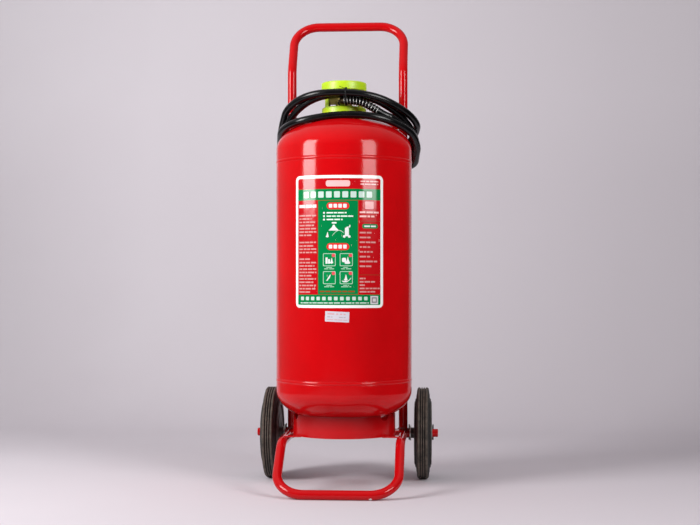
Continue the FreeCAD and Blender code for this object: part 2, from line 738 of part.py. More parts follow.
# Pressure gauge, facing the back, where the operator stands
gauge_at = ("0", "vessel_y", "gauge_height")
CASE_OUTLINE = [
    ("0", "24"),
    ("4.5", "24"),
    ("4.5", "29"),
    ("gauge_radius - 1.5", "29"),
    ("gauge_radius", "30.5"),
    ("gauge_radius", "41"),
    ("gauge_radius - 1.5", "41"),
    ("gauge_radius - 1.5", "31"),
    ("0", "31"),
]
node(turned("gauge_case", CASE_OUTLINE, gauge_at, "y"), "gauge_case")
gauge_dial = rod("gauge_dial", "gauge_radius - 1.6", ("0", "vessel_y + 33.5", "gauge_height"), "0.8", "y")
node(gauge_dial, "gauge_dial")
NEEDLE_OUTLINE = [
    ("-0.9", "gauge_height - 3.5"),
    ("0.9", "gauge_height - 3.5"),
    ("0.3", "gauge_height + 9.5"),
    ("-0.3", "gauge_height + 9.5"),
]
needle_arm = plate("needle_arm", "XZ_Plane", NEEDLE_OUTLINE, "0.6", ("0", "vessel_y + 35.6", "0"))
needle_hub = rod("needle_hub", "1.6", ("0", "vessel_y + 34.7", "gauge_height"), "1.9", "y")
node(fuse("gauge_needle", needle_arm, needle_hub), "gauge_needle")
gauge_lens = rod("gauge_lens", "gauge_radius - 1.6", ("0", "vessel_y + 38.6", "gauge_height"), "1.4", "y")
node(gauge_lens, "gauge_lens")

# Outlet: union nut, elbow, then the hose
NUT_REACH = "vessel_y - 27"
nut_blank = primitive("Prism", "nut_blank", ("0", NUT_REACH, "outlet_height"), "-y",
                      Polygon="6", Circumradius="13", Height="12")
nut_way = rod("nut_way", "elbow_radius", ("0", NUT_REACH, "outlet_height"), "12", "-y")
node(cut("union_nut", nut_blank, nut_way), "union_nut")
elbow_start = Vector(0, size("vessel_y") - 27, size("outlet_height"))
elbow_corner = Vector(0, size("vessel_y") - 72, size("outlet_height"))
elbow_end = Vector(14, size("vessel_y") - 72, size("outlet_height"))
elbow_path = bent_path([elbow_start, elbow_corner, elbow_end], [9])
elbow_out = bent_bar("elbow_out", elbow_path, "elbow_radius", Vector(0, -1, 0))
elbow_in = bent_bar("elbow_in", elbow_path, "elbow_bore", Vector(0, -1, 0))
node(cut("outlet_elbow", elbow_out, elbow_in), "outlet_elbow")

# Valve guard: moulded sleeve with a front and a back window, and its lift-off cap
GUARD_OUTLINE = [
    ("neck_bore + 0.5", "guard_floor"),
    ("guard_radius - guard_wall", "guard_floor"),
    ("guard_radius - guard_wall", "guard_bottom"),
    ("guard_radius", "guard_bottom"),
    ("guard_radius", "guard_step - 1.5"),
    ("guard_radius - 1.5", "guard_step"),
    ("waist_radius + 2", "guard_step + 1.5"),
    ("waist_radius", "guard_step + 5"),
    ("waist_radius", "guard_top"),
    ("waist_radius - waist_wall", "guard_top"),
    ("waist_radius - waist_wall", "guard_step - guard_wall"),
    ("guard_radius - guard_wall", "guard_step - guard_wall"),
    ("guard_radius - guard_wall", "guard_floor + 2"),
    ("neck_bore + 0.5", "guard_floor + 2"),
]
guard_blank = turned("guard_blank", GUARD_OUTLINE, VESSEL_AXIS)
guard_windows = [
    block("guard_window_front", ("-window_half", "vessel_y - 60", "window_bottom"), "window_half * 2", "40",
          "window_top - window_bottom"),
    block("guard_window_back", ("-window_half", "vessel_y + 20", "window_bottom"), "window_half * 2", "40",
          "window_top - window_bottom"),
]
node(cut("guard_body", guard_blank, *guard_windows), "guard_body")
CAP_LIP = "waist_radius - waist_wall - 0.4"
CAP_OUTLINE = [
    ("0", "cap_top - 3"),
    ("cap_radius - guard_wall", "cap_top - 3"),
    ("cap_radius - guard_wall", "guard_top + 2.8"),
    (CAP_LIP + " - 2", "guard_top + 2.8"),
    (CAP_LIP + " - 2", "guard_top - 7"),
    (CAP_LIP, "guard_top - 7"),
    (CAP_LIP, "guard_top + 0.3"),
    ("cap_radius", "guard_top + 0.3"),
    ("cap_radius", "cap_top - 1.5"),
    ("cap_radius - 1.5", "cap_top"),
    ("0", "cap_top"),
]
node(turned("guard_cap", CAP_OUTLINE, VESSEL_AXIS), "guard_cap")

# Spray gun, held upright behind the vessel
gun_at = ("gun_x", "gun_y", "gun_valve_height")
FERRULE_OUTLINE = [("0", "24"), ("10.5", "24"), ("10.5", "28"), ("9.8", "29"), ("9.8", "33"), ("10.5", "34"),
                   ("10.5", "39"), ("9.8", "40"), ("9.8", "44"), ("10.5", "45"), ("10.5", "52"), ("0", "52")]
node(turned("gun_ferrule", FERRULE_OUTLINE, gun_at), "gun_ferrule")
GUN_VALVE_OUTLINE = [("7", "-24"), ("12", "-24"), ("12", "-15"), ("16", "-9"), ("16", "9"), ("12", "15"),
                     ("12", "24"), ("7", "24")]
gun_core = turned("gun_core", GUN_VALVE_OUTLINE, gun_at)
gun_boss = rod("gun_boss", "7", ("gun_x", "gun_y + 8", "gun_valve_height"), "13", "y")
ball_space = primitive("Sphere", "ball_space", gun_at, Radius="11.1")
gun_bore = rod("gun_bore", "7", ("gun_x", "gun_y", "gun_valve_height - 30"), "60")
stem_space = rod("stem_space", "3.6", gun_at, "40", "y")
gun_solid = fuse("gun_solid", gun_core, gun_boss)
node(cut("gun_valve_body", gun_solid, ball_space, gun_bore, stem_space), "gun_valve_body")
ball = primitive("Sphere", "ball", gun_at, Radius="11")
ball_way = rod("ball_way", "6", ("gun_x - 20", "gun_y", "gun_valve_height"), "40", "x")
ball_stem = rod("ball_stem", "3.5", ("gun_x", "gun_y + 8", "gun_valve_height"), "21", "y")
node(fuse("gun_valve_ball", cut("bored_ball", ball, ball_way), ball_stem), "gun_valve_ball")
LEVER_BLADE = [("gun_x - 8", "gun_valve_height - 7"), ("gun_x + 8", "gun_valve_height - 8"),
               ("gun_x + 30", "gun_valve_height - 6"), ("gun_x + 74", "gun_valve_height - 7"),
               ("gun_x + 78", "gun_valve_height"), ("gun_x + 74", "gun_valve_height + 7"),
               ("gun_x + 30", "gun_valve_height + 6"), ("gun_x + 8", "gun_valve_height + 8"),
               ("gun_x - 8", "gun_valve_height + 7")]
gun_blade = plate("gun_blade", "XZ_Plane", LEVER_BLADE, "2.5", ("0", "gun_y + 22.75", "0"))
blade_hole = rod("blade_hole", "3.5", ("gun_x", "gun_y + 15", "gun_valve_height"), "20", "y")
node(cut("gun_lever", gun_blade, blade_hole), "gun_lever")
lever_nut_blank = primitive("Prism", "lever_nut_blank", ("gun_x", "gun_y + 24", "gun_valve_height"), "y",
                            Polygon="6", Circumradius="6.5", Height="4")
node(cut("gun_lever_nut", lever_nut_blank, blade_hole), "gun_lever_nut")
BARREL_OUTLINE = [("6.5", "-148"), ("barrel_radius", "-148"), ("barrel_radius", "-24"), ("6.5", "-24")]
node(turned("gun_barrel", BARREL_OUTLINE, gun_at), "gun_barrel")


def grip_outline():
    """Sleeve over the barrel with shallow finger grooves."""
    points = [("barrel_radius", "-98"), ("12", "-98")]
    for ridge in range(6):
        low = -97 + ridge * 12
        points += [("13", str(low)), ("13", str(low + 8)), ("12", str(low + 9.5)), ("12", str(low + 10.5))]
    return points + [("12", "-25"), ("barrel_radius", "-25")]


node(turned("gun_grip", grip_outline(), gun_at), "gun_grip")
NOZZLE_OUTLINE = [("4", "-196"), ("7.5", "-196"), ("8.5", "-194"), ("8.5", "-178"), ("12", "-168"),
                  ("12", "-148"), ("6.5", "-148"), ("4", "-165")]
node(turned("gun_nozzle", NOZZLE_OUTLINE, gun_at), "gun_nozzle")

# Hose: a lead from the elbow, three turns laid over the hooks and the vessel's shoulder, and a tail
# down to the gun. It is one 3.6 m length of rubber hose.
HOSE_LEAD = [
    Vector(14, -63, 912.5),
    Vector(37, -63, 912),
    Vector(61, -59.5, 903),
    Vector(83, -51.5, 890),
    Vector(103, -40.5, 880),
    Vector(122, -29, 872),
]
HOSE_TAIL = [
    Vector(138.5, 148.6, 772.5),
    Vector(104, 162, 770),
    Vector(66, 183, 760),
    Vector(26, 199, 739),
    Vector(-8, 204, 709),
    Vector(-20, 204, 676),
    Vector(-20, 204, 652),
]
# Where the lead comes down the right side to the hooks
HOSE_START = [(122, -29, 872), (159.5, 27.5, 849.5), (172, 78.5, 824), (166, 127, 803)]
# Each turn from the left hook round the front to the right hook: inner, outer, then the low one
HOSE_FRONTS = [
    [(-160, 131, 806.5), (-162.5, 90.5, 830), (-147, 51, 854), (-120.5, 1, 889.5), (-69, -39, 920),
     (0, -53, 930), (70, -40, 920), (127, -1, 891), (158.5, 50, 859), (170.5, 91, 839), (165, 127, 823)],
    [(-160, 130, 832), (-162, 92.5, 851), (-153, 51, 874), (-131.5, -4, 904.5), (-77, -54, 927),
     (0, -71, 931), (80, -55, 922), (143, -9, 896), (171, 49.5, 873.5), (173.5, 91.5, 859), (165.5, 128, 842.5)],
    [(-160, 130, 786), (-163.5, 93.5, 808), (-158.5, 50.5, 831.5), (-145.5, -10, 851.5), (-94, -75, 865),
     (0, -81, 882), (89, -68.5, 873.5), (154.5, -15.5, 847), (167.5, 49, 817.5), (176.5, 89, 797.5),
     (170, 126, 780.5)],
]
HOOK_LEVELS = [791, 810.5, 830, 772.5]
HOOK_Y = 148.6
BACK_BOW = 34.0
# How far the last turn stands out behind the two under it, and its height there
CROSSING = [(0, 830), (13.4, 824.2), (19, 800.7), (13.4, 778.1), (0, 772.5)]


def behind_vessel(turn):
    """Stations of one turn from the right hook to the left hook, bowed round the back."""
    stations = []
    for step, (stand_off, height) in enumerate(CROSSING):
        across = 1 - step / 2
        depth = HOOK_Y + BACK_BOW * (1 - across * across)
        if turn < 2:
            stations.append(Vector(half * across, depth, HOOK_LEVELS[turn]))
        else:
            stations.append(Vector(half * across, depth + stand_off, height))
    return stations


def tangents(points, first, last):
    """Direction at each station, as on the circle through it and its two neighbours."""
    directions = [first.normalize()]
    for before, here, after in zip(points, points[1:], points[2:]):
        back = here - before
        ahead = after - here
        ratio = ahead.Length / back.Length
        directions.append((back * ratio + ahead / ratio).normalize())
    return directions + [last.normalize()]


def circle_arc(start, direction, end):
    """Arc that leaves a point in a direction and reaches another point."""
    chord = end - start
    side = direction.cross(chord).cross(direction).normalize()
    centre = start + side * (chord.dot(chord) / (2 * chord.dot(side)))
    radius = (start - centre).Length
    middle = centre + ((start + end) * 0.5 - centre).normalize() * radius
    return Part.Arc(start, middle, end).toShape()


def flowing_path(points, directions):
    """Pairs of tangent arcs that pass through each station in its direction."""
    edges = []
    for index in range(len(points) - 1):
        span = points[index + 1] - points[index]
        start_way, end_way = directions[index], directions[index + 1]
        square = 2 * (1 - start_way.dot(end_way))
        linear = 2 * span.dot(start_way + end_way)
        reach = 2 * span.dot(span) / (linear + math.sqrt(linear * linear + 4 * square * span.dot(span)))
        near = points[index] + start_way * reach
        far = points[index + 1] - end_way * reach
        meeting = (near + far) * 0.5
        edges.append(circle_arc(points[index], start_way, meeting))
        edges.append(circle_arc(meeting, (far - near).normalize(), points[index + 1]))
    return Part.Wire(edges)


def wound_bar(name, path, radius, tangent):
    """One unbroken round bar along a path of many arcs."""
    section = Part.Wire([Part.Circle(path.OrderedVertexes[0].Point, tangent, radius).toShape()])
    bar = doc.addObject("Part::Feature", name)
    bar.Shape = path.makePipeShell([section], True)
    return bar


def run_radii(points):
    """Bend radius at each inner point, from the shorter of its two runs."""
    radii = []
    for before, here, after in zip(points, points[1:], points[2:]):
        half_turn = (math.pi - (before - here).getAngle(after - here)) / 2
        radii.append(0.45 * min((here - before).Length, (after - here).Length) / math.tan(half_turn))
    return radii


hose_radius = size("hose_radius")
lead_path = bent_path(HOSE_LEAD, run_radii(HOSE_LEAD))
tail_path = bent_path(HOSE_TAIL, run_radii(HOSE_TAIL))
print("lead bends", [round(radius) for radius in run_radii(HOSE_LEAD)])
print("tail bends", [round(radius) for radius in run_radii(HOSE_TAIL)])
node(bent_bar("hose_lead", lead_path, "hose_radius", HOSE_LEAD[1] - HOSE_LEAD[0]), "hose_lead")
node(bent_bar("hose_tail", tail_path, "hose_radius", HOSE_TAIL[1] - HOSE_TAIL[0]), "hose_tail")

coil_stations = [Vector(*point) for point in HOSE_START]
for turn, front in enumerate(HOSE_FRONTS):
    coil_stations += behind_vessel(turn) + [Vector(*point) for point in front]
coil_stations.append(HOSE_TAIL[0])
coil_ways = tangents(coil_stations, HOSE_LEAD[-1] - HOSE_LEAD[-2], HOSE_TAIL[1] - HOSE_TAIL[0])
coil_path = flowing_path(coil_stations, coil_ways)
node(wound_bar("hose_coil", coil_path, hose_radius, coil_ways[0]), "hose_coil")
coil_bend = min(edge.Curve.Radius for edge in coil_path.Edges)
print("coil bends", round(coil_bend), "and up, length", round(coil_path.Length))


def least_gap(path, radius, apart):
    """Smallest space between stretches of a bar that are a given length apart along it."""
    points = path.discretize(Distance=5)
    step = path.Length / (len(points) - 1)
    skip = int(apart / step)
    return min(a.distanceToPoint(b) for i, a in enumerate(points) for b in points[i + skip:]) - 2 * radius


print("coil gap to itself", round(least_gap(coil_path, hose_radius, 60), 2))


def helix_stations(centres, coil_radius):
    """Eight stations to each curl of a wire round a line of centres."""
    stations = []
    for index, centre in enumerate(centres):
        ahead = centres[min(index + 1, len(centres) - 1)]
        behind = centres[max(index - 1, 0)]
        way = (ahead - behind).normalize()
        level = way.cross(Vector(0, 1, 0)).normalize()
        across = way.cross(level)
        angle = math.pi / 4 * index
        spoke = level * math.cos(angle) + across * math.sin(angle)
        stations.append(centre + spoke * coil_radius)
    return stations


def wire_coil(name, centres, coil_radius, wire_radius):
    """Spring wire curled round a line of centres, straight for one wire width at each end."""
    stations = helix_stations(centres, coil_radius)
    rise = (centres[-1] - centres[-2]).Length / (coil_radius * math.pi / 4)
    opening = (centres[1] - centres[0]).normalize()
    closing = (centres[-1] - centres[-2]).normalize()
    first_arm = stations[0] - centres[0]
    last_arm = stations[-1] - centres[-1]
    first = (opening.cross(first_arm).normalize() + opening * rise).normalize()
    last = (closing.cross(last_arm).normalize() + closing * rise).normalize()
    turns = flowing_path(stations, tangents(stations, Vector(first), Vector(last)))
    lead_in = Part.LineSegment(stations[0] - first * wire_radius * 2, stations[0]).toShape()
    lead_out = Part.LineSegment(stations[-1], stations[-1] + last * wire_radius * 2).toShape()
    path = Part.Wire([lead_in] + turns.Edges + [lead_out])
    print(name, "gap to itself", round(least_gap(path, wire_radius, coil_radius * 2), 2))
    return wound_bar(name, path, wire_radius, first)


# Spring guard: keeps the lead from kinking where it leaves the elbow
GUARD_CURLS = 10
GUARD_PITCH = 7.3
guard_start = HOSE_LEAD[0] - (HOSE_LEAD[1] - HOSE_LEAD[0]).normalize() * 3
guard_way = bent_path([guard_start] + HOSE_LEAD[1:], run_radii(HOSE_LEAD))
guard_line = guard_way.discretize(Number=round(guard_way.Length * 8 / GUARD_PITCH) + 1)
node(wire_coil("spring_guard", guard_line[:GUARD_CURLS * 8 + 1], size("guard_coil"), size("guard_wire")),
     "spring_guard")

# Return spring under the valve's poppet
SPRING_CURLS = 5
spring_rise = (size("spring_top") - size("spring_bottom")) / (SPRING_CURLS * 8)
spring_line = [Vector(0, size("vessel_y"), size("spring_bottom") + spring_rise * step)
               for step in range(SPRING_CURLS * 8 + 1)]
node(wire_coil("stem_spring", spring_line, size("spring_mean"), size("spring_wire")), "stem_spring")

# Cable tie round the two upper turns and the elbow's arm
TIED = [Vector(0, -71, 931), Vector(0, -63, 912.5), Vector(0, -53, 930)]
TIE_SLACK = 0.4


def band_solid(name, radius):
    """Solid that fills a band stretched round the tied lengths."""
    sides = [(TIED[(index + 1) % 3] - centre).normalize() for index, centre in enumerate(TIED)]
    normals = [Vector(0, side.z, -side.y) for side in sides]
    edges = []
    for index, centre in enumerate(TIED):
        before = normals[index - 1]
        after = normals[index]
        start = centre + before * radius
        end = centre + after * radius
        edges.append(Part.Arc(start, centre + (before + after).normalize() * radius, end).toShape())
        edges.append(Part.LineSegment(end, TIED[(index + 1) % 3] + after * radius).toShape())
    item = doc.addObject("Part::Feature", name)
    item.Shape = Part.Face(Part.Wire(edges)).extrude(Vector(size("tie_width"), 0, 0))
    bind(item, "Placement.Base.x", "tie_x")
    return item


tie_inner = band_solid("tie_inner", hose_radius + TIE_SLACK)
tie_outer = band_solid("tie_outer", hose_radius + TIE_SLACK + size("tie_thickness"))
tie_head = block("tie_head", ("tie_x - 1", "-65", "940"), "tie_width + 2", "6", "4.5")
TIE_TAIL = [("8", "941.2"), ("8", "942.4"), ("-6", "947.2"), ("-6.4", "946")]
tie_tail = plate("tie_tail", "XZ_Plane", TIE_TAIL, "tie_width", ("0", "-62", "0"))
node(fuse("cable_tie", cut("tie_band", tie_outer, tie_inner), tie_head, tie_tail), "cable_tie")

# Clip that holds the gun's barrel, on a pad welded to the back of the shell
clip_ring = rod("clip_ring", "barrel_radius + 2.2", ("gun_x", "gun_y", "gun_valve_height - 134"), "26")
clip_pad = block("clip_pad", ("gun_x - 9", "vessel_y + vessel_radius - 4", "gun_valve_height - 134"), "18",
                 "gun_y - vessel_y - vessel_radius", "26")
clip_solid = fuse("clip_solid", clip_ring, clip_pad)
clip_space = rod("clip_space", "barrel_radius", ("gun_x", "gun_y", "gun_valve_height - 136"), "30")
clip_mouth = block("clip_mouth", ("gun_x - 7.5", "gun_y + 3", "gun_valve_height - 136"), "15", "20", "30")
clip_shell = rod("clip_shell", "vessel_radius", ("0", "vessel_y", "gun_valve_height - 140"), "40")
node(cut("gun_clip", clip_solid, clip_space, clip_mouth, clip_shell), "gun_clip")


# Label and inspection sticker, thin sheets on the shell
def curved_sheet(name, width, bottom, top, turn):
    """Thin sheet wrapped on the shell, centred on the front and turned a little round it."""
    angle = f"{width} / vessel_radius * 180 / pi"
    outer = primitive("Cylinder", name + "_outer", ("0", "vessel_y", bottom),
                      Radius="vessel_radius + label_thickness", Height=f"{top} - {bottom}", Angle=angle)
    inner = primitive("Cylinder", name + "_inner", ("0", "vessel_y", bottom),
                      Radius="vessel_radius", Height=f"{top} - {bottom}", Angle=angle)
    spread = size(angle)
    for item in (outer, inner):
        item.Placement = Placement(item.Placement.Base, Rotation(Vector(0, 0, 1), -90 - spread / 2 + turn))
    return cut(name, outer, inner)


node(curved_sheet("label", "label_width", "label_bottom", "label_top", 0), "label")
node(curved_sheet("inspection_sticker", "sticker_width", "sticker_bottom", "sticker_top", -1.4),
     "inspection_sticker")

doc.recompute()
for item in doc.Objects:
    if "Invalid" in item.State or "Error" in item.State:
        raise RuntimeError(f"{item.Name} is {item.State}")
for item in nodes:
    if item.Shape.isNull() or not item.Shape.isValid():
        raise RuntimeError(f"{item.Label} has no valid shape")
os.makedirs("parts", exist_ok=True)
for item in nodes:
    item.Shape.exportStep(f"parts/{item.Label}.step")
print(len(nodes), "nodes written")
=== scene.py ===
import math

import bmesh
import bpy
import numpy as np
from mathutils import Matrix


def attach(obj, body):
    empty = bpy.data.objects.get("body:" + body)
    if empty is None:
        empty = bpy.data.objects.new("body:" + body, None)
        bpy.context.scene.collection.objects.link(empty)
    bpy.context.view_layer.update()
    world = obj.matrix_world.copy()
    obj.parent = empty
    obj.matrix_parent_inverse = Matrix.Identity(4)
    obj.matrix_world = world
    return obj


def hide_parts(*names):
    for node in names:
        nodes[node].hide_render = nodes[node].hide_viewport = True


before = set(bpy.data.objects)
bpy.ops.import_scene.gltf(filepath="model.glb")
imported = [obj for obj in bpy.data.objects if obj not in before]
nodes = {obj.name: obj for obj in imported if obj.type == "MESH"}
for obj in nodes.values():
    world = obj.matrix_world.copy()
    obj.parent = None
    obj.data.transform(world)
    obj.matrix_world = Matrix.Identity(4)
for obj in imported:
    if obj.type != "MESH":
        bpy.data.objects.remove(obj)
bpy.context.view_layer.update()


# Pressure vessel. Rolled and pressed steel, butt welded at two girth seams, then powder coated
# in signal red in one piece. The coat is thick, glossy and a little orange-peeled.
VESSEL_Y = 0.009
VESSEL_RADIUS = 0.1625
LOWER_TANGENT = 0.228
UPPER_TANGENT = 0.802
HEAD_DEPTH = VESSEL_RADIUS / 2
SEAM_HEIGHTS = (0.253, 0.773)
NECK_RADIUS = 0.034
SIGNAL_RED = "ca0a10"


def linear(colour):
    """sRGB hex to the linear value that a shader takes, by the standard two-part curve."""
    parts = [int(colour[i:i + 2], 16) / 255 for i in (0, 2, 4)]
    return [p / 12.92 if p <= 0.04045 else ((p + 0.055) / 1.055) ** 2.4 for p in parts] + [1.0]


def feed(node, key, source):
    """Gives one input of a node a colour in hex, Object coordinates, which are the row frame in
    metres, another node's result, or a socket."""
    if source == "Object":
        source = node.id_data.nodes.new("ShaderNodeTexCoord").outputs["Object"]
    elif isinstance(source, bpy.types.Node):
        source = source.outputs[2 if source.bl_idname == "ShaderNodeMix" else 0]
    if isinstance(source, str):
        node.inputs[key].default_value = linear(source)
    else:
        node.id_data.links.new(source, node.inputs[key])


def add(material, kind, links=None, **settings):
    """Adds one node, sets its properties and unlinked inputs, and feeds the inputs given by name or
    number; i1 among the settings is input number 1."""
    node = material.node_tree.nodes.new("ShaderNode" + kind)
    for key, value in settings.items():
        if hasattr(node, key):
            setattr(node, key, value)
        else:
            node.inputs[int(key[1:]) if key[1:].isdigit() else key.replace("_", " ")].default_value = value
    for key, source in (links or {}).items():
        feed(node, key, source)
    return node


def finish(name, colour, **sockets):
    """A material of one colour, with the values that are the same all over set on its shader."""
    material = bpy.data.materials.new(name)
    material.use_nodes = True
    shader = material.node_tree.nodes["Principled BSDF"]
    shader.inputs["Base Color"].default_value = linear(colour)
    for key, value in sockets.items():
        shader.inputs[key.replace("_", " ")].default_value = value
    return material, shader


def powder_coat(name, colour, wear):
    """Powder coat: baked polyester paint, glossy, with orange peel about 2 mm across.
    Dust dulls it in soft patches, and wear darkens small chips down to the primer."""
    material, shader = finish(name, colour, Roughness=0.1, Specular_IOR_Level=0.26)
    peel = add(material, "TexNoise", {"Vector": "Object"}, Scale=480.0, Detail=1.0)
    feed(shader, "Normal", add(material, "Bump", {"Height": peel}, Strength=0.12, Distance=0.0002))
    dust = add(material, "TexNoise", {"Vector": "Object"}, Scale=9.0, Detail=5.0, Roughness=0.6)
    dull = add(material, "MapRange", {"Value": dust}, From_Min=0.35, From_Max=0.75,
               To_Min=0.07, To_Max=0.17)
    feed(shader, "Roughness", dull)
    chips = add(material, "TexNoise", {"Vector": "Object"}, Scale=95.0, Detail=3.0, Roughness=0.7)
    chipped = add(material, "MapRange", {"Value": chips}, From_Min=wear,
                  From_Max=wear + 0.02, To_Min=0.0, To_Max=0.75)
    shades = add(material, "MapRange", {"Value": dust}, From_Min=0.3, From_Max=0.7)
    deeper = add(material, "Mix", {0: shades, 6: colour, 7: "bd090e"}, data_type="RGBA")
    coat = add(material, "Mix", {0: chipped, 6: deeper, 7: "5c1512"}, data_type="RGBA")
    feed(shader, "Base Color", coat)
    return material


def over(material, factor, colour):
    """Lays a colour over a powder coat's own where the factor is 1."""
    shader = material.node_tree.nodes["Principled BSDF"]
    own = shader.inputs["Base Color"].links[0].from_socket
    feed(shader, "Base Color", add(material, "Mix", {0: factor, 6: own, 7: colour}, data_type="RGBA"))


def surface(name, points, wrap_rows=False, wrap_columns=False, smooth=True):
    """Mesh object from a grid of points, closed along either direction, with coinciding points merged."""
    rows, columns = points.shape[:2]
    index = np.arange(rows * columns).reshape(rows, columns)
    if wrap_rows:
        index = np.vstack([index, index[:1]])
    if wrap_columns:
        index = np.hstack([index, index[:, :1]])
    corners = [index[:-1, :-1], index[:-1, 1:], index[1:, 1:], index[1:, :-1]]
    quads = np.stack(corners, axis=-1).reshape(-1, 4)
    mesh = bpy.data.meshes.new(name)
    mesh.from_pydata(points.reshape(-1, 3).tolist(), [], quads.tolist())
    shaped = bmesh.new()
    shaped.from_mesh(mesh)
    bmesh.ops.remove_doubles(shaped, verts=shaped.verts, dist=1e-6)
    bmesh.ops.recalc_face_normals(shaped, faces=shaped.faces)
    shaped.to_mesh(mesh)
    shaped.free()
    mesh.polygons.foreach_set("use_smooth", np.full(len(mesh.polygons), smooth))
    piece = bpy.data.objects.new(name, mesh)
    bpy.context.scene.collection.objects.link(piece)
    return piece


def dress(piece, body, material, slot, *replaced):
    """Gives a piece its material and its body and hides the CAD nodes it stands for; its finish slot is not
    used.
    """
    piece.data.materials.clear()
    piece.data.materials.append(material)
    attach(piece, body)
    if replaced:
        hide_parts(*replaced)
    return piece


def rounded(corners, radii, steps):
    """Line through corners with each inner one replaced by an arc: the arc's centre lies on the
    bisector, and its points turn evenly from one tangent point to the other."""
    corners = np.asarray(corners, float)
    line = [corners[:1]]
    for before, corner, after, radius in zip(corners, corners[1:], corners[2:], radii):
        back = (before - corner) / np.linalg.norm(before - corner)
        ahead = (after - corner) / np.linalg.norm(after - corner)
        half = np.arccos(np.clip(back @ ahead, -1, 1)) / 2
        if radius <= 0 or abs(half - np.pi / 2) < 1e-4:
            line.append(corner[None])
            continue
        middle = (back + ahead) / np.linalg.norm(back + ahead)
        centre = corner + middle * radius / np.sin(half)
        first = corner + back * radius / np.tan(half) - centre
        last = corner + ahead * radius / np.tan(half) - centre
        turn = np.pi - 2 * half
        share = np.linspace(0, 1, steps + 1)[:, None]
        swung = np.sin((1 - share) * turn) * first + np.sin(share * turn) * last
        line.append(centre + swung / np.sin(turn))
    line.append(corners[-1:])
    return np.vstack(line)


def turned(name, profile, centre, axis="z", segments=128, wrap=False):
    """Surface of revolution: each profile point (radius, along) goes round the axis in equal steps."""
    profile = np.asarray(profile, float)
    angle = np.linspace(0, 2 * np.pi, segments, endpoint=False)
    radius = profile[:, 0, None]
    first = radius * np.cos(angle)
    second = radius * np.sin(angle)
    along = np.repeat(profile[:, 1, None], segments, axis=1)
    order = {"z": (first, second, along), "x": (along, first, second), "y": (second, along, first)}[axis]
    return surface(name, np.stack(order, axis=-1) + np.array(centre), wrap_rows=wrap, wrap_columns=True)


def head_arc(tangent, sign, start, end, steps):
    """Half-depth ellipse of a pressed head: radius R cos t and height tangent + sign R/2 sin t."""
    turn = np.linspace(start, end, steps)
    return np.c_[VESSEL_RADIUS * np.cos(turn), tangent + sign * HEAD_DEPTH * np.sin(turn)]


def girth_seam(height):
    """Weld bead between two fine undercut lines. A step is a height and how far out it stands, in
    millimetres; the lower half is mirrored upwards, and each point is a radius and a height."""
    below = [(-5.2, 0), (-4.4, 0), (-4.0, -0.55), (-3.5, -0.1), (-2.4, 0.55)]
    steps = np.array(below + [(0, 0.9)] + [(-up, out) for up, out in below[::-1]]) / 1000
    return np.c_[VESSEL_RADIUS + steps[:, 1], height + steps[:, 0]]


neck_turn = math.acos(NECK_RADIUS / VESSEL_RADIUS)
vessel_profile = np.vstack([
    head_arc(LOWER_TANGENT, -1, math.pi / 2, 0, 40),
    girth_seam(SEAM_HEIGHTS[0]),
    girth_seam(SEAM_HEIGHTS[1]),
    head_arc(UPPER_TANGENT, 1, 0, neck_turn, 40),
])
vessel_paint = powder_coat("signal_red_powder_coat", SIGNAL_RED, 0.79)
vessel = turned("vessel", vessel_profile, (0, VESSEL_Y, 0), segments=192)
dress(vessel, "extinguisher", vessel_paint, "red_paint", "cylinder_shell", "top_head", "bottom_head",
      "seam_welds")


def paint(material, *names):
    """Gives CAD nodes that keep their own shape a better material."""
    for name in names:
        nodes[name].data.materials.clear()
        nodes[name].data.materials.append(material)


paint(vessel_paint, "neck_boss", "gun_clip")


# Inside the vessel. The dip tube and its strainer are moulded white and black plastic; they show
# only in a section through the vessel.
white_moulding, _ = finish("white_moulded_polypropylene", "e9e8e2", Roughness=0.45)
paint(white_moulding, "dip_tube")


def grained(name, colour, scale, detail=2.0, rough=0.5, tints=None, gloss=None, bump=None, **sockets):
    """A finish with one fine noise in it, which runs its colour between two tints, its roughness
    between two values, and its surface over a bump of a given strength and depth in metres."""
    material, shader = finish(name, colour, **sockets)
    grain = add(material, "TexNoise", {"Vector": "Object"}, Scale=scale, Detail=detail,
                Roughness=rough)
    if tints:
        mottled = add(material, "Mix", {0: grain, 6: tints[0], 7: tints[1]}, data_type="RGBA")
        feed(shader, "Base Color", mottled)
    if gloss:
        dull = add(material, "MapRange", {"Value": grain}, To_Min=gloss[0], To_Max=gloss[1])
        feed(shader, "Roughness", dull)
    if bump:
        raised = add(material, "Bump", {"Height": grain}, Strength=bump[0], Distance=bump[1])
        feed(shader, "Normal", raised)
    return material


# Moulded nylon: black and satin, with the mould's fine spark grain.
black_moulding = grained("black_moulded_nylon", "0d0d0f", 1400.0, bump=(0.2, 0.0002), Roughness=0.55,
                         Specular_IOR_Level=0.3)
paint(black_moulding, "dip_strainer", "gun_lever_nut")


# Base ring. A rolled strip pushed up against the bottom head and tacked to it from inside, so that a
# dark joint line shows all round it; its notches let water drain.
RING_RADIUS = 0.123
# The same red powder coat, set darker than the vessel's as painted shade, with a painted shadow of the
# head's overhang that darkens it further towards the top.
ring_paint = powder_coat("signal_red_ring_paint", "bb090f", 0.79)
rise = add(ring_paint, "SeparateXYZ", {0: "Object"})
overhang_painted_shade = add(ring_paint, "MapRange", {"Value": rise.outputs["Z"]}, From_Min=0.138, From_Max=0.17)
# Painted shadow of the head's overhang: dark red laid over the ring's top.
over(ring_paint, overhang_painted_shade, "7a0609")
paint(ring_paint, "base_ring")


# Frame. Steel tube bent into the uprights with their grip, and into the foot loop; rods, strap and
# lugs are welded on and everything is painted the same red. One chip is knocked out of the front bar.
FRAME_Y = 0.1245
FRAME_HALF = 0.1385
TUBE_RADIUS = 0.011
AXLE_RADIUS = 0.01
AXLE_HEIGHT = 0.1125
CHIP = (0.0768, -0.2335, 0.0032)
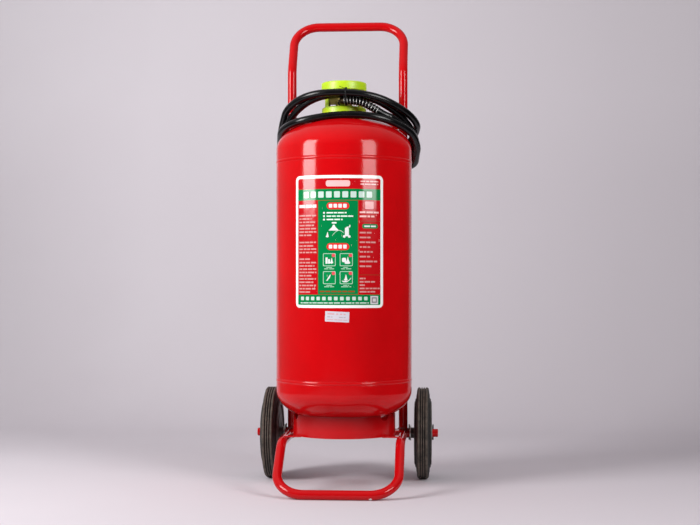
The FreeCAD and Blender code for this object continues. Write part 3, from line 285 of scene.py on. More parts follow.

# The tubes take the vessel's red set a little darker, as painted shade.
frame_paint = powder_coat("signal_red_tube_paint", "bc090f", 0.74)
bare = add(frame_paint, "VectorMath", {0: "Object"}, operation="DISTANCE", i1=CHIP)
ragged = add(frame_paint, "TexNoise", {"Vector": "Object"}, Scale=700.0)
outline = add(frame_paint, "Math", {0: ragged, 2: bare.outputs["Value"]},
              operation="MULTIPLY_ADD", i1=0.004)
chip = add(frame_paint, "Math", {0: outline}, operation="LESS_THAN", i1=0.0056)
over(frame_paint, chip, "d9d3cf")
paint(frame_paint, "handle_tube", "foot_tube", "rear_strap", "head_stay", "ring_lugs", "hose_hooks",
      "axle_rod")

# Weld beads of the frame. Hand-laid fillets with close ripples, red with a veil of grey soot and
# spatter, most of it where foot tube, upright and axle meet.
soot_paint = powder_coat("signal_red_over_weld_soot", "a60d10", 0.64)
cloud = add(soot_paint, "TexNoise", {"Vector": "Object"}, Scale=120.0, Detail=6.0,
            Roughness=0.7)
veil = add(soot_paint, "MapRange", {"Value": cloud}, From_Min=0.42, From_Max=0.62,
           To_Max=0.8)
over(soot_paint, veil, "8d6f6b")


def ripple(line, radius, pitch, depth):
    """Bead radius along a line: the mean times one plus a small cosine of the length travelled."""
    travelled = np.r_[0, np.cumsum(np.linalg.norm(np.diff(line, axis=0), axis=1))]
    return radius * (1 + depth * np.cos(2 * np.pi * travelled / pitch))


def sweep(line, radii, closed=False, sides=12):
    """Rings round a line of points. Each ring lies across the line's direction there, and its first
    spoke is the last ring's, turned as little as it takes; an open line gets a point at both ends."""
    line = np.asarray(line, float)
    radii = np.broadcast_to(np.asarray(radii, float), len(line))
    if closed:
        ways = np.roll(line, -1, axis=0) - np.roll(line, 1, axis=0)
    else:
        ways = np.gradient(line, axis=0)
    ways /= np.linalg.norm(ways, axis=1)[:, None]
    spoke = np.cross(ways[0], (0.0, 0.0, 1.0) if abs(ways[0][2]) < 0.9 else (1.0, 0.0, 0.0))
    spokes = []
    for way in ways:
        spoke = spoke - way * (spoke @ way)
        spoke = spoke / np.linalg.norm(spoke)
        spokes.append(spoke)
    spokes = np.array(spokes)[:, None]
    others = np.cross(ways, spokes[:, 0])[:, None]
    angle = np.linspace(0, 2 * np.pi, sides, endpoint=False)[:, None]
    rings = line[:, None] + radii[:, None, None] * (spokes * np.cos(angle) + others * np.sin(angle))
    if not closed:
        rings = np.concatenate([np.repeat(line[:1, None], sides, axis=1), rings,
                                np.repeat(line[-1:, None], sides, axis=1)])
    return rings


def swept(name, line, radii, closed=False):
    """Round bar along a line, closed at its ends or into a loop that lies in one plane."""
    return surface(name, sweep(line, radii, closed), wrap_rows=closed, wrap_columns=True)


def bead(name, line, radius, pitch, ends=None, depth=0.12):
    """Rippled weld bead along a line: a closed ring, or an open one with its radii scaled by ends."""
    radii = ripple(line, radius, pitch, depth)
    return swept(name, line, radii if ends is None else radii * ends, ends is None)


def joined(name, pieces):
    """One object made of several pieces."""
    shaped = bmesh.new()
    for piece in pieces:
        shaped.from_mesh(piece.data)
        bpy.data.objects.remove(piece)
    mesh = bpy.data.meshes.new(name)
    shaped.to_mesh(mesh)
    shaped.free()
    whole = bpy.data.objects.new(name, mesh)
    bpy.context.scene.collection.objects.link(whole)
    return whole


def saddle(centre, radius, host_radius, along, host, side):
    """Line where a tube of one radius meets a round host: across the host it lies a quarter circle's
    depth down, the root of host radius squared minus offset squared."""
    turn = np.linspace(0, 2 * np.pi, 160, endpoint=False)
    offset = radius * np.cos(turn)
    depth = np.sqrt(np.maximum(host_radius ** 2 - offset ** 2, 0))
    line = np.tile(np.asarray(centre, float), (len(turn), 1))
    third = 3 - along - host
    line[:, third] += offset
    line[:, host] += radius * np.sin(turn)
    line[:, along] += side * depth
    return line


beads = []
for side in (-1, 1):
    joint = (side * FRAME_HALF, FRAME_Y, AXLE_HEIGHT)
    foot_line = saddle(joint, TUBE_RADIUS + 0.0006, TUBE_RADIUS + 0.0007, 1, 2, -1)
    beads.append(bead(f"foot_bead_{side}", foot_line, 0.0027, 0.0033))
    for face in (-1, 1):
        axle_line = saddle(joint, AXLE_RADIUS + 0.0004, TUBE_RADIUS + 0.0004, 0, 2, face)
        beads.append(bead(f"axle_bead_{side}_{face}", axle_line, 0.0021, 0.003))
dress(joined("frame_weld_beads", beads), "extinguisher", soot_paint, "red_frame", "frame_welds")


# Small beads of the frame: short fillets at the strap and lugs, tapered over their last millimetres,
# and rings round the hooks' ends and the neck. They are under the same red as the tubes.
STRAP_LEVELS = (0.868, 0.894)
STRAP_HALF_THICK = 0.0034
LUG_ARCS = ((-39.0, -26.5), (26.5, 39.0))
LUG_TOP = 0.125
LUG_BEAD_RADIUS = RING_RADIUS + 0.0004
HOOK_HEIGHT = 0.7587
HOOK_RADIUS = 0.0042
NECK_BEAD_RADIUS = NECK_RADIUS + 0.0006
SHORT_PITCH = 0.0031


def line_bead(name, start, end, radius):
    """Straight bead from one point to another, tapered over its last millimetres."""
    share = np.linspace(0, 1, 90)[:, None]
    line = np.array(start) + (np.array(end) - np.array(start)) * share
    return bead(name, line, radius, SHORT_PITCH, np.clip(np.minimum(share, 1 - share)[:, 0] * 12, 0.3, 1))


small_beads = []
for side in (-1, 1):
    strap_x = side * (FRAME_HALF - 0.0106)
    for edge, depth in (("front", FRAME_Y - STRAP_HALF_THICK), ("back", FRAME_Y + STRAP_HALF_THICK)):
        foot, top = [(strap_x, depth, height) for height in STRAP_LEVELS]
        small_beads.append(line_bead(f"strap_bead_{edge}_{side}", foot, top, 0.0019))
    for first, last in LUG_ARCS:
        turn = np.radians(np.linspace(first, last, 90))
        line = np.c_[side * LUG_BEAD_RADIUS * np.cos(turn), VESSEL_Y + LUG_BEAD_RADIUS * np.sin(turn),
                     np.full(90, LUG_TOP)]
        ends = np.clip(np.minimum(np.arange(90), np.arange(90)[::-1]) / 8, 0.3, 1)
        small_beads.append(bead(f"lug_bead_{side}_{first}", line, 0.0014, SHORT_PITCH, ends))
    hook_turn = np.linspace(0, 2 * np.pi, 80, endpoint=False)
    hook_across = HOOK_RADIUS * np.cos(hook_turn)
    hook_line = np.c_[side * FRAME_HALF + hook_across,
                      FRAME_Y + np.sqrt(TUBE_RADIUS ** 2 - hook_across ** 2) + 0.0003,
                      HOOK_HEIGHT + HOOK_RADIUS * np.sin(hook_turn)]
    small_beads.append(bead(f"hook_bead_{side}", hook_line, 0.0014, 0.0026))
neck_turns = np.linspace(0, 2 * np.pi, 300, endpoint=False)
neck_seat = UPPER_TANGENT + HEAD_DEPTH * math.sqrt(1 - ((NECK_RADIUS + 0.001) / VESSEL_RADIUS) ** 2)
neck_line = np.c_[NECK_BEAD_RADIUS * np.cos(neck_turns), VESSEL_Y + NECK_BEAD_RADIUS * np.sin(neck_turns),
                  np.full(300, neck_seat)]
small_beads.append(bead("neck_bead", neck_line, 0.0024, 0.0034, depth=0.1))
dress(joined("small_weld_beads", small_beads), "extinguisher", frame_paint, "red_frame")


# Running gear. Solid rubber tyres, three shallow grooves in a dusty brown-grey tread and black
# sidewalls with fine moulded rings, on dull plated rims of two pressed halves with a plain hub tube.
WHEEL_X = 0.188
WHEEL_RADIUS = 0.1125


def from_axle(material):
    """Distance from the wheels' axle line, for what changes from hub to tread."""
    level = add(material, "VectorMath", {0: "Object"}, operation="MULTIPLY", i1=(0.0, 1.0, 1.0))
    return add(material, "VectorMath", {0: level}, operation="DISTANCE",
               i1=(0.0, FRAME_Y, AXLE_HEIGHT)).outputs["Value"]


# Solid rubber: dull black, with pale road dust on what touches the ground, a thin film of it elsewhere,
# and moulded rings 1.6 mm apart.
tyre_rubber, tyre_shader = finish("dusty_tyre_rubber", "1b1a19", Roughness=0.72)
spot = add(tyre_rubber, "TexNoise", {"Vector": "Object"}, Scale=55.0, Detail=7.0, Roughness=0.7)
away = from_axle(tyre_rubber)
worn = add(tyre_rubber, "MapRange", {"Value": away}, From_Min=0.1098, From_Max=0.112)
patchy = add(tyre_rubber, "MapRange", {"Value": spot}, From_Min=0.3, From_Max=0.62,
             To_Min=0.1, To_Max=0.85)
dusted = add(tyre_rubber, "Math", {0: worn, 1: patchy},
             operation="MULTIPLY")
film = add(tyre_rubber, "MapRange", {"Value": spot}, From_Min=0.5, From_Max=0.8,
           To_Max=0.25)
most = add(tyre_rubber, "Math", {0: dusted, 1: film},
           operation="MAXIMUM")
feed(tyre_shader, "Base Color",
     add(tyre_rubber, "Mix", {0: most, 6: "0f0e0d", 7: "6b6156"}, data_type="RGBA"))
rings = add(tyre_rubber, "Math", {0: away}, operation="MULTIPLY", i1=2 * math.pi / 0.0016)
moulded = add(tyre_rubber, "Math", {0: rings}, operation="SINE")
gritty = add(tyre_rubber, "Math", {0: spot, 2: moulded},
             operation="MULTIPLY_ADD", i1=5.0)
feed(tyre_shader, "Normal", add(tyre_rubber, "Bump", {"Height": gritty}, Strength=0.35, Distance=0.00018))

tyre_side = [(0.0702, 0.019), (0.084, 0.019), (0.086, 0.0163), (0.0935, 0.0157), (0.0945, 0.0163),
             (0.0965, 0.0161), (0.0975, 0.0152), (0.1045, 0.0148), (0.110, 0.0134), (WHEEL_RADIUS, 0.011)]
groove = [(WHEEL_RADIUS, -0.0014), (0.1094, -0.001), (0.1094, 0.001), (WHEEL_RADIUS, 0.0014)]
tyre_corners = [(radius, -across) for radius, across in tyre_side]
for middle in (-0.0055, 0.0, 0.0055):
    tyre_corners += [(radius, middle + across) for radius, across in groove]
tyre_corners += tyre_side[::-1]
side_radii = [0.0012, 0.004, 0.0004, 0.0005, 0.0005, 0.0004, 0.003, 0.0016, 0.0009]
tyre_profile = rounded(tyre_corners, side_radii + [0.0003] * 12 + side_radii[::-1], steps=3)

# Zinc plate gone dull: warm grey with darker blotches of grime and a soft, uneven sheen.
rim_plate, rim_shader = finish("dull_zinc_plated_rim", "77716c", Metallic=0.35, Roughness=0.55)
bloom = add(rim_plate, "TexNoise", {"Vector": "Object"}, Scale=42.0, Detail=6.0, Roughness=0.65)
grime = add(rim_plate, "MapRange", {"Value": bloom}, From_Min=0.4, From_Max=0.66)
feed(rim_shader, "Base Color",
     add(rim_plate, "Mix", {0: grime, 6: "6a645f", 7: "37312d"}, data_type="RGBA"))
sanded = add(rim_plate, "MapRange", {"Value": bloom}, To_Min=0.42, To_Max=0.72)
feed(rim_shader, "Roughness", sanded)
feed(rim_shader, "Normal", add(rim_plate, "Bump", {"Height": bloom}, Strength=0.15, Distance=0.0003))

for side, sign in (("right", 1), ("left", -1)):
    hub = (sign * WHEEL_X, FRAME_Y, AXLE_HEIGHT)
    tyre = turned(f"{side}_tyre_tread", tyre_profile, hub, "x", 144, wrap=True)
    dress(tyre, f"{side}_wheel", tyre_rubber, "tyre_rubber", f"{side}_tyre")
    paint(rim_plate, f"{side}_rim", f"{side}_hub")

# Zinc plating on steel: silver grey, with cloudy duller patches a few millimetres across.
zinc = grained("zinc_plated_steel", "b9bbb9", 210.0, 4.0, tints=("c3c5c3", "a09f98"), gloss=(0.22, 0.46),
               Metallic=1.0, Roughness=0.32)
paint(zinc, "axle_washers", "lever_pivot_pin", "safety_pin", "valve_stem", "gauge_case",
      "gun_valve_ball")

# Oil-blackened steel: near black with a brown cast and a low sheen.
blackened = grained("oil_blackened_steel", "2a2827", 260.0, 4.0, tints=("1d1b1a", "45403c"), Metallic=0.8,
                    Roughness=0.5)
paint(blackened, "split_pins", "union_nut")


# Valve. A cast brass body left sand-dull, with a tarnished elbow, and a pressed lever painted dark
# grey that the moulded guard hides almost completely. The gun's brass parts are forged.
# Forged brass: warm yellow metal, mottled and uneven in its shine.
brass = grained("forged_brass", "b98f45", 320.0, 5.0, 0.6, ("c59b4c", "8d6c36"), (0.26, 0.55),
                (0.2, 0.0002), Metallic=1.0, Roughness=0.38)
paint(brass, "gun_ferrule", "gun_valve_body", "gun_barrel")

# Cast brass: pale, matt and yellow with a sandy grain. It is set paler and hardly metallic as painted
# light, so that it stays bright in the shade of the guard's window.
cast = grained("dull_cast_brass", "dcc679", 240.0, 5.0, 0.6, ("efda8c", "c4aa60"), bump=(0.2, 0.0002),
               Metallic=0.15, Roughness=0.55)
paint(cast, "valve_body")

# Brass left to tarnish: dark brown, nearly black beside the hose.
tarnished = grained("tarnished_brass", "4a3c26", 180.0, 5.0, tints=("171410", "3a2f1e"), Metallic=1.0,
                    Roughness=0.5)
paint(tarnished, "outlet_elbow")

# Stove enamel on the lever: dark grey, a little cloudy.
lever_paint = powder_coat("dark_grey_lever_enamel", "3a3b3d", 0.78)
enamel = add(lever_paint, "TexNoise", {"Vector": "Object"}, Scale=60.0, Detail=3.0)
feed(lever_paint.node_tree.nodes["Principled BSDF"], "Base Color",
     add(lever_paint, "Mix", {0: enamel, 6: "343537", 7: "45474a"}, data_type="RGBA"))
paint(lever_paint, "valve_lever")

# Cut rubber sheet: flat black with a fine grain.
gasket_rubber = grained("black_gasket_rubber", "161617", 900.0, bump=(0.2, 0.0002), Roughness=0.65)
paint(gasket_rubber, "valve_gasket")

# Pressure gauge. A white printed dial with a green working sector between two red ones, tick marks,
# a red needle and a clear domed lens; it faces the operator at the back.
GAUGE_HEIGHT = 0.916
DIAL_BAND = (0.0068, 0.0096)
DIAL_TICKS = (0.0096, 0.0112)
DIAL_WHITE = "f2f1ea"
SECTORS = ((-0.9, -0.3, "c1272d"), (-0.3, 0.3, "1f8a4c"), (0.3, 0.9, "c1272d"))

dial, dial_shader = finish("printed_gauge_dial", DIAL_WHITE, Roughness=0.5)
centred = add(dial, "VectorMath", {0: "Object"}, operation="SUBTRACT", i1=(0.0, 0.0, GAUGE_HEIGHT))
axes = add(dial, "SeparateXYZ", {0: centred})
swing = add(dial, "Math", {0: axes.outputs["X"], 1: axes.outputs["Z"]}, operation="ARCTAN2")
flat = add(dial, "VectorMath", {0: centred}, operation="MULTIPLY", i1=(1.0, 0.0, 1.0))
reach = add(dial, "VectorMath", {0: flat}, operation="LENGTH")


# Each span is one where a value lies between two limits and nought elsewhere.
tenth = add(dial, "Math", {0: swing}, operation="PINGPONG", i1=math.radians(5))
spans = [(reach.outputs["Value"], *DIAL_BAND), (reach.outputs["Value"], *DIAL_TICKS), (tenth, -0.02, 0.02),
         (swing, math.radians(-56), math.radians(56))] + [(swing, low, high) for low, high, _ in SECTORS]
band, tick_ring, near_tenth, on_scale, *sectors = [
    add(dial, "Math", {0: value}, operation="COMPARE", i1=(low + high) / 2, i2=(high - low) / 2)
    for value, low, high in spans]
tick = add(dial, "Math", {0: near_tenth, 1: tick_ring}, operation="MULTIPLY")
tick = add(dial, "Math", {0: tick, 1: on_scale}, operation="MULTIPLY")
colour = DIAL_WHITE
for sector, (_, _, tint) in zip(sectors, SECTORS):
    inked = add(dial, "Math", {0: band, 1: sector}, operation="MULTIPLY")
    colour = add(dial, "Mix", {0: inked, 6: colour, 7: tint}, data_type="RGBA")
feed(dial_shader, "Base Color", add(dial, "Mix", {0: tick, 6: colour, 7: "1b1b1b"}, data_type="RGBA"))
paint(dial, "gauge_dial")

needle_paint = powder_coat("red_needle_enamel", "c01a20", 0.8)
paint(needle_paint, "gauge_needle", "gun_lever")
# Moulded polycarbonate: clear, with a faint haze of scuffs.
lens = grained("clear_polycarbonate_lens", "ffffff", 800.0, gloss=(0.02, 0.1), Roughness=0.05,
               Transmission_Weight=1.0, IOR=1.58)
paint(lens, "gauge_lens")


# Valve guard. Injection-moulded lime polyethylene, a little translucent and satin, with a rounded
# lift-off cap; its top has a shallow dished panel and the gate mark in the middle.
lime, lime_shader = finish("lime_moulded_polyethylene", "bfe01d", Roughness=0.36, Subsurface_Weight=0.15,
                           Subsurface_Scale=0.004)
flow = add(lime, "TexNoise", {"Vector": "Object"}, Scale=30.0, Detail=4.0)
feed(lime_shader, "Base Color", add(lime, "Mix", {0: flow, 6: "c6e522", 7: "b3d518"}, data_type="RGBA"))
spark = add(lime, "TexNoise", {"Vector": "Object"}, Scale=650.0, Detail=2.0)
feed(lime_shader, "Normal", add(lime, "Bump", {"Height": spark}, Strength=0.16, Distance=0.0003))
satin = add(lime, "MapRange", {"Value": flow}, To_Min=0.28, To_Max=0.46)
feed(lime_shader, "Roughness", satin)
paint(lime, "guard_body")

cap_profile = rounded([(0.0, 0.964), (0.0022, 0.964), (0.0022, 0.9632), (0.041, 0.9632), (0.0425, 0.9640),
                       (0.054, 0.964), (0.054, 0.9443), (0.0426, 0.9443), (0.0426, 0.937), (0.0406, 0.937),
                       (0.0406, 0.9468), (0.0515, 0.9468), (0.0515, 0.961), (0.0, 0.961)],
                      [0.0005, 0.0004, 0.001, 0.001, 0.0032, 0.0008, 0.0003, 0.0006, 0.0006, 0.0006, 0.0006,
                       0.0015], steps=5)
cap = turned("guard_cap_moulding", cap_profile, (0, VESSEL_Y, 0), segments=128)
dress(cap, "guard_lid", lime, "lime_plastic", "guard_cap")


# Hose. One length of smooth black rubber hose, 17 mm across and 3.6 m long: a lead from the valve's
# elbow, three turns over the rear hooks and the vessel's shoulder, and a tail down to the gun.
HOSE_DIAMETER = 0.0173
HOSE_EXIT = (0.014, -0.063, 0.9125)
HOSE_LEAD = [HOSE_EXIT, (0.037, -0.063, 0.912), (0.061, -0.0595, 0.903), (0.083, -0.0515, 0.89),
             (0.103, -0.0405, 0.88)]
HOSE_START = [(0.122, -0.029, 0.872), (0.1595, 0.0275, 0.8495), (0.172, 0.0785, 0.824),
              (0.166, 0.127, 0.803)]
HOSE_FRONTS = [
    [(-0.16, 0.131, 0.8065), (-0.1625, 0.0905, 0.83), (-0.147, 0.051, 0.854), (-0.1205, 0.001, 0.8895),
     (-0.069, -0.039, 0.92), (0.0, -0.053, 0.93), (0.07, -0.04, 0.92), (0.127, -0.001, 0.891),
     (0.1585, 0.05, 0.859), (0.1635, 0.091, 0.839), (0.161, 0.127, 0.823)],
    [(-0.16, 0.13, 0.832), (-0.162, 0.0925, 0.851), (-0.153, 0.051, 0.874), (-0.1315, -0.004, 0.9045),
     (-0.077, -0.054, 0.927), (0.0, -0.071, 0.931), (0.08, -0.055, 0.922), (0.143, -0.009, 0.896),
     (0.171, 0.0495, 0.8735), (0.172, 0.0915, 0.859), (0.1605, 0.128, 0.8425)],
    [(-0.16, 0.13, 0.786), (-0.1635, 0.0935, 0.808), (-0.1585, 0.0505, 0.8315), (-0.1455, -0.01, 0.8515),
     (-0.094, -0.075, 0.865), (0.0, -0.0815, 0.8775), (0.089, -0.0685, 0.8715), (0.1545, -0.0155, 0.847),
     (0.174, 0.049, 0.8175), (0.1715, 0.089, 0.7975), (0.165, 0.126, 0.7805)],
]
HOOK_LEVELS = (0.791, 0.8105)
HOOK_Y = 0.1486
BACK_BOW = 0.034
CROSSING = [(0.0, 0.83), (0.0134, 0.8242), (0.019, 0.8007), (0.0134, 0.7781), (0.0, 0.7725)]
HOSE_TAIL = [(0.1385, 0.1486, 0.7725), (0.104, 0.162, 0.77), (0.066, 0.183, 0.76), (0.026, 0.199, 0.739),
             (-0.008, 0.204, 0.709), (-0.02, 0.204, 0.676), (-0.02, 0.204, 0.652)]


def behind_vessel(turn):
    """Points of one turn from the right hook to the left hook, bowed round the back as a parabola; the
    last turn stands out behind the other two and comes down across them."""
    points = []
    for step, (stand_off, height) in enumerate(CROSSING):
        across = 1 - step / 2
        depth = HOOK_Y + BACK_BOW * (1 - across * across)
        if turn < 2:
            points.append((FRAME_HALF * across, depth, HOOK_LEVELS[turn]))
        else:
            points.append((FRAME_HALF * across, depth + stand_off, height))
    return points


def drawn_out(points, first, last):
    """Control points first to last moved outwards until the spline touches each given point. The
    spline's nearest place to a control point is an eighth of both neighbours plus six eighths of it."""
    given = np.array(points)
    moved = given.copy()
    span = slice(first, last)
    for _ in range(30):
        nearest = (moved[:-2] + 6 * moved[1:-1] + moved[2:]) / 8
        moved[span] += given[span] - nearest[first - 1:last - 1]
    return moved


coil_route = list(HOSE_START)
for turn, front in enumerate(HOSE_FRONTS):
    coil_route += behind_vessel(turn) + front
hose_route = HOSE_LEAD + coil_route + HOSE_TAIL
controls = drawn_out(hose_route, len(HOSE_LEAD), len(HOSE_LEAD) + len(coil_route))

hose_line = bpy.data.curves.new("hose", "CURVE")
hose_line.dimensions = "3D"
hose_line.resolution_u = 12
hose_line.bevel_depth = HOSE_DIAMETER / 2
hose_line.bevel_resolution = 7
hose_line.use_fill_caps = True
spline = hose_line.splines.new("NURBS")
spline.points.add(len(controls) - 1)
spline.points.foreach_set("co", np.c_[controls, np.ones(len(controls))].ravel())
spline.use_endpoint_u = True
spline.order_u = 3
hose = bpy.data.objects.new("hose", hose_line)
bpy.context.scene.collection.objects.link(hose)

# Extruded rubber with a smooth cover: deep black and rather shiny, rubbed grey and duller in patches.
hose_rubber, hose_shader = finish("smooth_black_hose_rubber", "0b0b0c", Roughness=0.24,
                                  Specular_IOR_Level=0.32)
skin = add(hose_rubber, "TexNoise", {"Vector": "Object"}, Scale=24.0, Detail=6.0, Roughness=0.65)
rubbed = add(hose_rubber, "MapRange", {"Value": skin}, From_Min=0.35, From_Max=0.7,
             To_Min=0.18, To_Max=0.32)
feed(hose_shader, "Roughness", rubbed)
greyed = add(hose_rubber, "MapRange", {"Value": skin}, From_Min=0.45, From_Max=0.8)
feed(hose_shader, "Base Color",
     add(hose_rubber, "Mix", {0: greyed, 6: "060607", 7: "121111"}, data_type="RGBA"))
pores = add(hose_rubber, "TexNoise", {"Vector": "Object"}, Scale=1100.0, Detail=1.0)
feed(hose_shader, "Normal", add(hose_rubber, "Bump", {"Height": pores}, Strength=0.12, Distance=0.0002))
dress(hose, "extinguisher", hose_rubber, "dark_rubber", "hose_lead", "hose_coil", "hose_tail")


def centreline(curve):
    """Points along a curve's spline, read from a copy of it with no bevel."""
    bare = bpy.data.objects.new("bare_line", curve.data.copy())
    bare.data.bevel_depth = 0
    mesh = bpy.data.meshes.new_from_object(bare)
    points = np.array([vertex.co for vertex in mesh.vertices])
    bpy.data.objects.remove(bare)
    return points


# Spring guard. Plain spring steel wire wound open round the hose's first few centimetres, where the
# hose would kink; both wire ends are cut square.
GUARD_WIRE = 0.0009
GUARD_COIL = 0.0098
GUARD_PITCH = 0.0073
GUARD_CURLS = 12
STEPS = 30

lead_line = centreline(hose)[:120]
lead_way = (lead_line[1] - lead_line[0]) / np.linalg.norm(lead_line[1] - lead_line[0])
lead_line = np.vstack([lead_line[0] - lead_way * 0.010, lead_line])
travelled = np.r_[0, np.cumsum(np.linalg.norm(np.diff(lead_line, axis=0), axis=1))]
stations = np.linspace(0, GUARD_CURLS * GUARD_PITCH, GUARD_CURLS * STEPS + 1)
axis_points = np.c_[tuple(np.interp(stations, travelled, lead_line[:, i]) for i in range(3))]
axis_ways = np.gradient(axis_points, axis=0)
axis_ways /= np.linalg.norm(axis_ways, axis=1)[:, None]
level = np.cross(axis_ways, (0.0, 1.0, 0.0))
level /= np.linalg.norm(level, axis=1)[:, None]
across = np.cross(axis_ways, level)
turn = (2 * np.pi * stations / GUARD_PITCH)[:, None]
wire_line = axis_points + GUARD_COIL * (level * np.cos(turn) + across * np.sin(turn))
wire = swept("hose_spring_guard", wire_line, GUARD_WIRE)

# Drawn steel wire under a film of oil: bright grey with darker smears.
spring_steel = grained("oiled_spring_steel", "a6a5a3", 700.0, 3.0, tints=("c9c7c4", "7b7976"),
                       gloss=(0.18, 0.45), Metallic=1.0, Roughness=0.3)
dress(wire, "extinguisher", spring_steel, "spring_steel", "spring_guard")
paint(spring_steel, "stem_spring")

# Cable tie. Black nylon: a ratcheted band drawn round the two upper turns and the lead, a small head
# on top and a cut tail that sticks out past it.
TIED = np.array([(-0.071, 0.931), (-0.063, 0.9125), (-0.053, 0.930)])
TIE_MIDDLE = 0.00975
TIE_HALF = 0.00155
TIE_INSIDE = HOSE_DIAMETER / 2 + 0.0003
TIE_THICKNESS = 0.0012
TIE_SLACK = (0.0, 0.0019, 0.0)
TIE_DEPTH = -0.062
TIE_HEAD_LEVEL = 0.9423
TIE_BEVEL = 0.0003


def tie_band():
    """Band round three circles: an arc on each from one outer tangent to the next, in the plane of Y
    and Z, with a rounded rectangle for its section."""
    sides = np.roll(TIED, -1, axis=0) - TIED
    sides /= np.linalg.norm(sides, axis=1)[:, None]
    normals = np.c_[sides[:, 1], -sides[:, 0]]
    loop = []
    for number, middle in enumerate(TIED):
        first = math.atan2(normals[number - 1][1], normals[number - 1][0])
        swing = math.atan2(normals[number][1], normals[number][0]) - first
        swing -= 2 * math.pi * round(swing / (2 * math.pi))
        for share in np.linspace(0, 1, 14):
            angle = first + swing * share
            out = np.array((math.cos(angle), math.sin(angle)))
            loop.append((middle, out, TIE_INSIDE + TIE_SLACK[number]))
    flank, crown = TIE_HALF - TIE_BEVEL, TIE_THICKNESS - TIE_BEVEL
    section = [(-TIE_HALF, TIE_BEVEL), (-flank, 0.0), (flank, 0.0), (TIE_HALF, TIE_BEVEL),
               (TIE_HALF, crown), (flank, TIE_THICKNESS), (-flank, TIE_THICKNESS), (-TIE_HALF, crown)]
    grid = [[(TIE_MIDDLE + width, *(middle + (inside + height) * out)) for middle, out, inside in loop]
            for width, height in section]
    return surface("tie_band", np.array(grid), wrap_rows=True, wrap_columns=True)


def strip(name, line, half_widths, thicknesses, depth):
    """Flat strip along a line in the plane of X and Z, centred on a depth: a rounded rectangle at each
    point, upright to the line."""
    line = np.array(line)
    ways = np.gradient(line, axis=0)
    ways /= np.linalg.norm(ways, axis=1)[:, None]
    rings = []
    for (x, z), (way_x, way_z), half, thick in zip(line, ways, half_widths, thicknesses):
        bevel = min(half, thick) * 0.3
        flank, crown = half - bevel, thick - bevel
        section = [(-half, -crown), (-flank, -thick), (flank, -thick), (half, -crown), (half, crown),
                   (flank, thick), (-flank, thick), (-half, crown)]
        rings.append([(x - way_z * rise, depth + width, z + way_x * rise) for width, rise in section])
    rings = [[tuple(np.mean(rings[0], axis=0))] * 8] + rings + [[tuple(np.mean(rings[-1], axis=0))] * 8]
    return surface(name, np.array(rings), wrap_columns=True, smooth=False)


tail_share = np.linspace(0, 1, 60)
tail_line = np.c_[0.0085 - 0.0149 * tail_share, 0.9418 + 0.0046 * tail_share + 0.0012 * tail_share ** 2]
ratchet = 0.0005 + 0.00012 * np.sign(np.sin(2 * np.pi * tail_share * 12))
tail = strip("tie_tail", tail_line, np.full(60, TIE_HALF), ratchet, TIE_DEPTH)
head_line = [(TIE_MIDDLE + across, TIE_HEAD_LEVEL)
             for across in (-0.0026, -0.0023, -0.0007, 0.0007, 0.0023, 0.0026)]
head = strip("tie_head", head_line, [0.0026, 0.003, 0.003, 0.003, 0.003, 0.0026],
             [0.0018, 0.0022, 0.0019, 0.0019, 0.0022, 0.0018], TIE_DEPTH)
tie = joined("hose_cable_tie", [tie_band(), tail, head])
dress(tie, "extinguisher", black_moulding, "black_plastic", "cable_tie")


# Spray gun. Brass ball valve and barrel in a ribbed black sleeve with a black nozzle, held nozzle down
# in a spring clip on the back of the shell; a red lever opens it.
sleeve_rubber = grained("ribbed_grip_rubber", "1a1a1b", 1300.0, bump=(0.3, 0.0002), Roughness=0.6)
paint(sleeve_rubber, "gun_grip")
paint(black_moulding, "gun_nozzle")


# Label. Screen-printed and laminated film wrapped on the shell: a white rounded border, red and green
# fields, pale plates, rows of plain strokes, and simple pictures of a fire and of things that burn.
LABEL_WIDTH = 217.0
LABEL_HEIGHT = 304.0
LABEL_BOTTOM = 427.0


